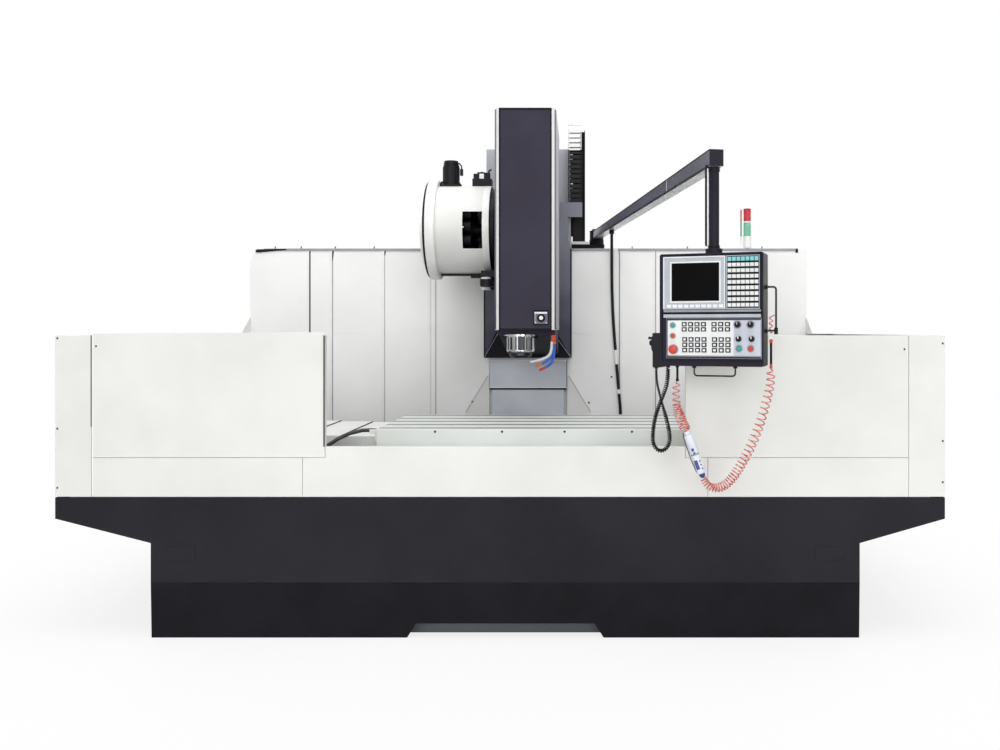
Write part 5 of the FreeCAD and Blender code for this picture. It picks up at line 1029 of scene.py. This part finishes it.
# ------------------------------------------------------------------ magazine
def magazine():
    """White tool drum: cap with a painted dark outline at its rim, open rim, dark strips of painted shade
    under the drum, motor, valve and parked pot.
    """
    dressed("magazine_frame", 1.0)
    NODES["magazine_disc"].material_slots[0].material = FINISH["shade_paint"]
    axis_y, axis_z, radius, seal = 300, 1880, 247, -529

    # The black ring at the cap's outer rim is painted shade, the rim seen edge-on
    def cap(middle, normal):
        outer = math.hypot(middle.y - axis_y, middle.z - axis_z) > radius + 15
        return "gasket_rubber" if outer and abs(middle.x - seal) < 8 else None

    dressed("magazine_cap", 0.0, cap)
    piece("drum_rim", "frame", closed=True,
          cap_plastic=[ring("x", (axis_y, axis_z), (-214, -178), (radius - 5, radius + 0.6), 72)])
    piece("drum_window_tabs", "frame", 0.6,
          trim_white=[box((x, x + 8), (52, 66), (1868, 1876)) for x in (-322, -214)])
    # Dark strips under the drum: painted shade along its underside
    piece("drum_underside_shade_strip", "frame", 1.5,
          drum_paint=[box((-468, -196), (axis_y - 14, axis_y + 14), (1620, 1634)),
                      box((-300, -196), (axis_y - 20, axis_y + 20), (1608, 1622))])
    motor = (-413, axis_y)
    lead = [(-354, 2226), (-354, 2244), (-366, 2258), (-385, 2262)]
    piece("magazine_motor_fins", "frame", 0.8,
          drum_paint=[
              *(box((x - 2, x + 2), (y - 2, y + 2), (2140, 2236)) for x, y in circle(18, 46, motor)),
              lathe("z", motor, [(2246, 30), (2246, 43), (2262, 43), (2270, 36), (2270, 30)], 32),
              box((-362, -346), (axis_y - 12, axis_y + 12), (2190, 2226)),
              *(tube([(-413 + 42 * side, axis_y - 40, 2150), (-413 + 62 * side, axis_y - 44, 2124)], 6)
                for side in (-1, 1)),
          ],
          cord_rubber=[tube([(x, axis_y, z) for x, z in lead], 4)])
    valve = [(2190, 5), (2190, 9), (2204, 9), (2208, 6), (2208, 0)]
    lead = [(-200, axis_y - 20, 2200), (-195, axis_y - 20, 2216), (-184, axis_y - 10, 2222)]
    piece("magazine_valve", "frame", 1.5,
          drum_paint=[box((-283, -252), (axis_y - 38, axis_y - 8), (2118, 2196)),
                      box((-222, -190), (axis_y - 38, axis_y - 8), (2118, 2202)),
                      box((-258, -216), (axis_y - 36, axis_y - 10), (2140, 2158)),
                      lathe("z", (-237, axis_y - 24), valve, 20)],
          trim_white=[box((-250, -224), (axis_y - 34, axis_y - 14), (2158, 2196))],
          cord_rubber=[tube(lead, 5)])
    pot = (-192, 60)
    piece("parked_tool_pot", "frame", 0.5,
          trim_white=[lathe("z", pot, [(1530, 18), (1530, 24), (1598, 26), (1600, 18)], 24)],
          gasket_rubber=[ring("z", pot, (1552, 1560), (24, 27), 24)])


# ------------------------------------------------------------------ boom
def boom():
    side_reach, reach = 425.5, math.hypot(425.5, 2555)
    pivot = Vector((0.429, 1.25, 0))
    turn = Matrix.Translation(pivot) @ Matrix.Rotation(math.asin(side_reach / reach), 4, "Z")
    pivot_y, tube_y, shelf_top = 1250, -1305, 1880
    # The beam is deeper at its outer end: heights of its lower and upper edges, pivot end and outer end
    low_in, low_out, high_in, high_out = 1923, 1964, 1968, 2030
    start, tip = 60, -(reach + 33)
    dressed("boom_bracket", 1.0, lambda middle, normal: "shade_paint")
    piece("boom_shelf_bar", "frame", 1.0,
          trim_white=[box((256, 378), (1196, 1294), (shelf_top, shelf_top + 20))])

    def beam(middle, normal):
        if normal.z < -0.9 and middle.y < pivot_y - 150 and middle.z < low_out + 2:
            return "zinc_plate"
        # The left side of the beam takes the lighter boom_side finish, a painted light on the side that faces
        # the lamps
        beside = normal.x < -0.7 and tube_y + 15 < middle.y < pivot_y - 100
        return "boom_side" if beside and middle.z > low_in + 7 else None

    dressed("boom_arm", 1.0, beam)
    beads = ([(-60, low_in), (-60, low_in + 5), (tip, low_out + 5), (tip, low_out)],
             [(start, high_in - 5), (start, high_in), (tip, high_out), (tip, high_out - 5)])
    piece("boom_edge_beads", "boom", 0.3, turn, shade_paint=[prism("x", bead, -30, -28) for bead in beads])
    at = 0.745 * tip
    share = (start - at) / (start - tip)
    joint = (low_in + (low_out - low_in) * share + 2, high_in + (high_out - high_in) * share + 0.8)
    piece("boom_joint_band", "boom", 0.3, turn, trim_white=[box((-29.9, 29.8), (at - 2.5, at + 2.5), joint)])
    piece("boom_end_cap", "boom", 0.6, turn,
          pendant_paint=[box((-27, 27), (tip - 1.5, tip + 1), (1966, 2028))])
    piece("drop_conduit_cover", "boom",
          trim_white=[tube([(828.5, tube_y, 1650), (828.5, tube_y, 1958)], 6.4)],
          gasket_rubber=[tube([(821, -1306, 1652), (821, -1306, 1956)], 3, 10)])
    piece("drop_tube_collars", "boom", 0.8,
          drum_paint=[ring("z", (854.5, tube_y), (low, low + 10), (20, 24), 32) for low in (1640, 1946)])


# ------------------------------------------------------------------ pendant
def pendant():
    front = -1360
    floor_y, frame_y = front + 8, front + 1.6
    raised, film, pale = ((frame_y - rise, frame_y + 0.5) for rise in (1.2, 0.8, 1.0))
    switches = (963.5, 1014.5)
    cap = [(frame_y, 12), (front - 4, 11.5), (front - 14, 9), (front - 15, 0)]
    dressed("pendant_housing", 2.0, lambda middle, normal: "shade_paint" if normal.x > 0.6 else None)
    piece(
        "pendant_panels", "pendant", 0.5, HUNG, ("pendant_fascia",),
        fascia_paint=[
            # Grey frame of the display unit, the plate beside it and the strip below them
            *plates((frame_y, floor_y), ((658, 910), (1395, 1428)), ((658, 910), (1579, 1606)),
                    ((658, 694), (1428, 1579)), ((886, 910), (1428, 1579)), ((914, 1045), (1395, 1606))),
            box((661, 1050), (front - 0.2, floor_y), (1362, 1375)),
        ],
        trim_white=[
            # Light edges round the screen and round the display unit, and the marks of the two switches
            *plates(raised, ((688, 892), (1422, 1427)), ((688, 892), (1580, 1585)),
                    ((688, 693), (1427, 1580)), ((887, 892), (1427, 1580)), ((660, 910), (1601, 1605)),
                    ((660, 664), (1397, 1601)), ((907, 911), (1397, 1605))),
            *(box((x - 2, x + 2), (front - 18, front - 13), (1278, 1288)) for x in switches),
        ],
        gasket_rubber=[
            box((918, 1043), film, (1399, 1603)),
            box((661, 1050), (front + 0.2, floor_y), (1376, 1383)),
            # Dark lines above, below and at the left of the operator panel
            *plates(pale, ((674, 1051), (1353, 1358)), ((674, 1051), (1202, 1207)),
                    ((674, 678), (1207, 1353))),
        ],
        trim_grey=[box((661, 1050), (front + 0.6, floor_y), (1384, 1393)),
                   box((672, 1053), (frame_y, floor_y), (1200, 1360))],
        key_plastic=[box((676, 1049), film, (1212, 1350))],
        fascia_pale=[box((944, 1049), pale, (1212, 1350))],
        drum_paint=[lathe("y", (x, 1278), cap, 26) for x in switches],
    )
    face = frame_y - 0.8
    keys = key_caps("pad_keys", (919, 1042), (1400, 1580), 7, 8, face, "key_plastic", (0.88, 0.66))
    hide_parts("pendant_keys")
    key_caps("pad_top_row", (919, 1042), (1581, 1602), 7, 1, face, "key_teal", (0.86, 0.8))
    key_caps("soft_keys", (672, 905), (1399, 1416), 10, 1, frame_y, "trim_white", (0.78, 0.72))
    for name, x, z, columns, rows in (
        ("mode", (733, 837), (1305, 1346), 4, 2), ("axis", (853, 933), (1305, 1346), 3, 2),
        ("tool", (735, 839), (1222, 1286), 4, 3), ("jog", (855, 935), (1222, 1286), 3, 3),
    ):
        key_caps(f"{name}_key_bezels", x, z, columns, rows, face, "gasket_rubber", (0.78, 0.82), 2.6)
        key_caps(f"{name}_key_faces", x, z, columns, rows, face, "key_plastic", (0.44, 0.46), 3.6)
    controls(front, frame_y)
    handles()
    handwheel()


def controls(front, frame_y):
    """Push-buttons, the emergency stop and the override knobs."""
    top, behind = front - 6, front + 26
    start, hold, on, off = (965.5, 1240), (1010.5, 1240), (699.5, 1332), (699.5, 1290)
    stop, feed, speed = (701.5, 1236), (959.5, 1334), (1010.5, 1334)
    piece("button_bezels", "pendant", turn=HUNG, trim_grey=[
        lathe("y", centre, [(frame_y, size), (frame_y - 3, size), (frame_y - 4, size - 1.5),
                            (frame_y - 4, size - 4)], 28)
        for centre, size in ((start, 14), (hold, 14), (on, 12), (off, 12), (stop, 20), (feed, 16),
                             (speed, 16))
    ])
    for name, centre, size, finish in (
        ("cycle_start", start, 10, "green_plastic"), ("feed_hold", hold, 10, "red_plastic"),
        ("power_on", on, 8, "green_plastic"), ("power_off", off, 8, "red_plastic"),
    ):
        cap = [(behind, size - 1), (behind, size), (top + 2, size), (top, size - 1.5), (top - 0.3, 0)]
        piece(f"{name}_cap", name, turn=HUNG, stands_for=(name,), **{finish: [lathe("y", centre, cap, 28)]})
    mushroom = [(front + 28, 11), (front - 8, 11), (front - 9, 16), (front - 14, 17.2), (front - 19, 15.5),
                (front - 21.5, 10), (front - 22.2, 0)]
    piece("e_stop_mushroom", "e_stop", turn=HUNG, stands_for=("e_stop",),
          red_plastic=[lathe("y", stop, mushroom, 36)])
    for name, centre in (("feed_override_knob", feed), ("spindle_override_knob", speed)):
        x = centre[0]
        knob = [(behind, 10), (behind, 11.5), (front - 2, 12.2), (front - 13, 9.5), (front - 14, 0)]
        piece(f"{name}_body", name, 0.4, HUNG, (name,),
              drum_paint=[lathe("y", centre, knob, 30),
                          box((x - 3.2, x + 3.2), (front - 17, front - 10), (1324, 1345))],
              trim_white=[box((x - 1.1, x + 1.1), (front - 17.6, front - 16.8), (1334, 1344))])


def handles():
    """Bent wire handles below and at the right of the pendant."""
    bend, depth = 12, -1305
    low, high, bottom, top = 774, 940, 1129, 1170
    side, foot, crown, out = 1059, 1310, 1482, 1100.5

    def corner(x, z, start):
        """A quarter turn about a centre, from an angle in degrees."""
        turns = [math.radians(start + 18 * n) for n in range(6)]
        return [(x + bend * math.cos(t), depth, z + bend * math.sin(t)) for t in turns]

    under = [(low, depth, top), *corner(low + bend, bottom + bend, 180),
             *corner(high - bend, bottom + bend, 270), (high, depth, top)]
    beside = [(side, depth, foot), *corner(out - bend, foot + bend, 270),
              *corner(out - bend, crown - bend, 0), (side, depth, crown)]
    hung = [(1160, 4), (1160, 8), (1169, 9), (1170, 4)]
    flanged = [(1059, 4), (1059, 9), (1068, 8), (1068, 4)]
    piece("pendant_wire_handles", "pendant", 0.3, HUNG, ("pendant_handles",),
          dark_wire=[tube(under, 3.4, 14), tube(beside, 4, 14)],
          drum_paint=[*(lathe("z", (x, depth), hung, 18) for x in (low, high)),
                      *(lathe("x", (depth, z), flanged, 18) for z in (foot, crown)),
                      ring("z", (out, depth), (1296, 1322), (4, 7.5), 18)])


def handwheel():
    """Small hand wheel on the box at the left, with a knurled rim and a crank knob."""
    dressed("handwheel_box", 1.5)
    y, z = centre = (-1305, 1258)
    rim = []
    for along, size in ((602, 31), (602.6, 35), (604.5, 36), (609.5, 36), (611.4, 35), (612, 31)):
        # Every second place lies 0.9 mm deeper, which makes the knurl
        depths = [size - 0.9 * (n % 2) for n in range(72)]
        rim.append([(along, y + r * a, z + r * b) for r, (a, b) in zip(depths, circle(72, 1))])
    piece("handwheel_rim", "handwheel", 0.0, HUNG, ("handwheel",),
          black_plastic=[rim, lathe("x", (y, z + 2), [(589, 4), (589, 10), (592, 11), (600.5, 11)], 26),
                         lathe("x", (y, z + 22), [(583, 3), (583, 5), (586, 6), (596, 4.5), (602.5, 4)], 20)],
          trim_grey=[lathe("x", centre, [(600, 8), (600, 14), (602.5, 15)], 30)])


# ------------------------------------------------------------------ beacon
def beacon():
    """Signal tower: ribbed red lens over a green one on a white foot."""
    x, y = 1352, 775
    lenses = {}
    ribs = 10
    for low, high, finish in ((1891, 1975, "green_lens"), (1985, 2057, "red_lens")):
        step = (high - low) / ribs
        ribbed = [(low + step * (n + share), radius) for n in range(ribs)
                  for share, radius in ((0.15, 22.8), (0.5, 24), (0.85, 22.8))]
        lenses[finish] = [lathe("z", (x, y), [(low, 18), *ribbed, (high, 18)], 36)]
    lenses["red_lens"].append(
        lathe("z", (x, y), [(2057, 18), (2057, 24.6), (2061, 24), (2063, 18), (2063, 0)], 36))
    piece("beacon_towers", "frame", stands_for=("beacon_lenses",), **lenses,
          trim_white=[ring("z", (x, y), (1975, 1985), (18, 21), 32)])
    rod = (x - 38, y)
    piece("beacon_rod", "frame",
          trim_white=[ring("z", rod, (1820, 1891), (3, 4.6), 16)],
          green_plastic=[ring("z", rod, (1891, 1978), (3, 4.7), 16)],
          red_plastic=[ring("z", rod, (1978, 2056), (3, 4.7), 16)])


for make in (
    cords, base_and_guards, covers, table, column_and_head, spindle, nozzles, tool_release, way_cover_lines,
    chain, magazine, boom, pendant, beacon,
):
    make()
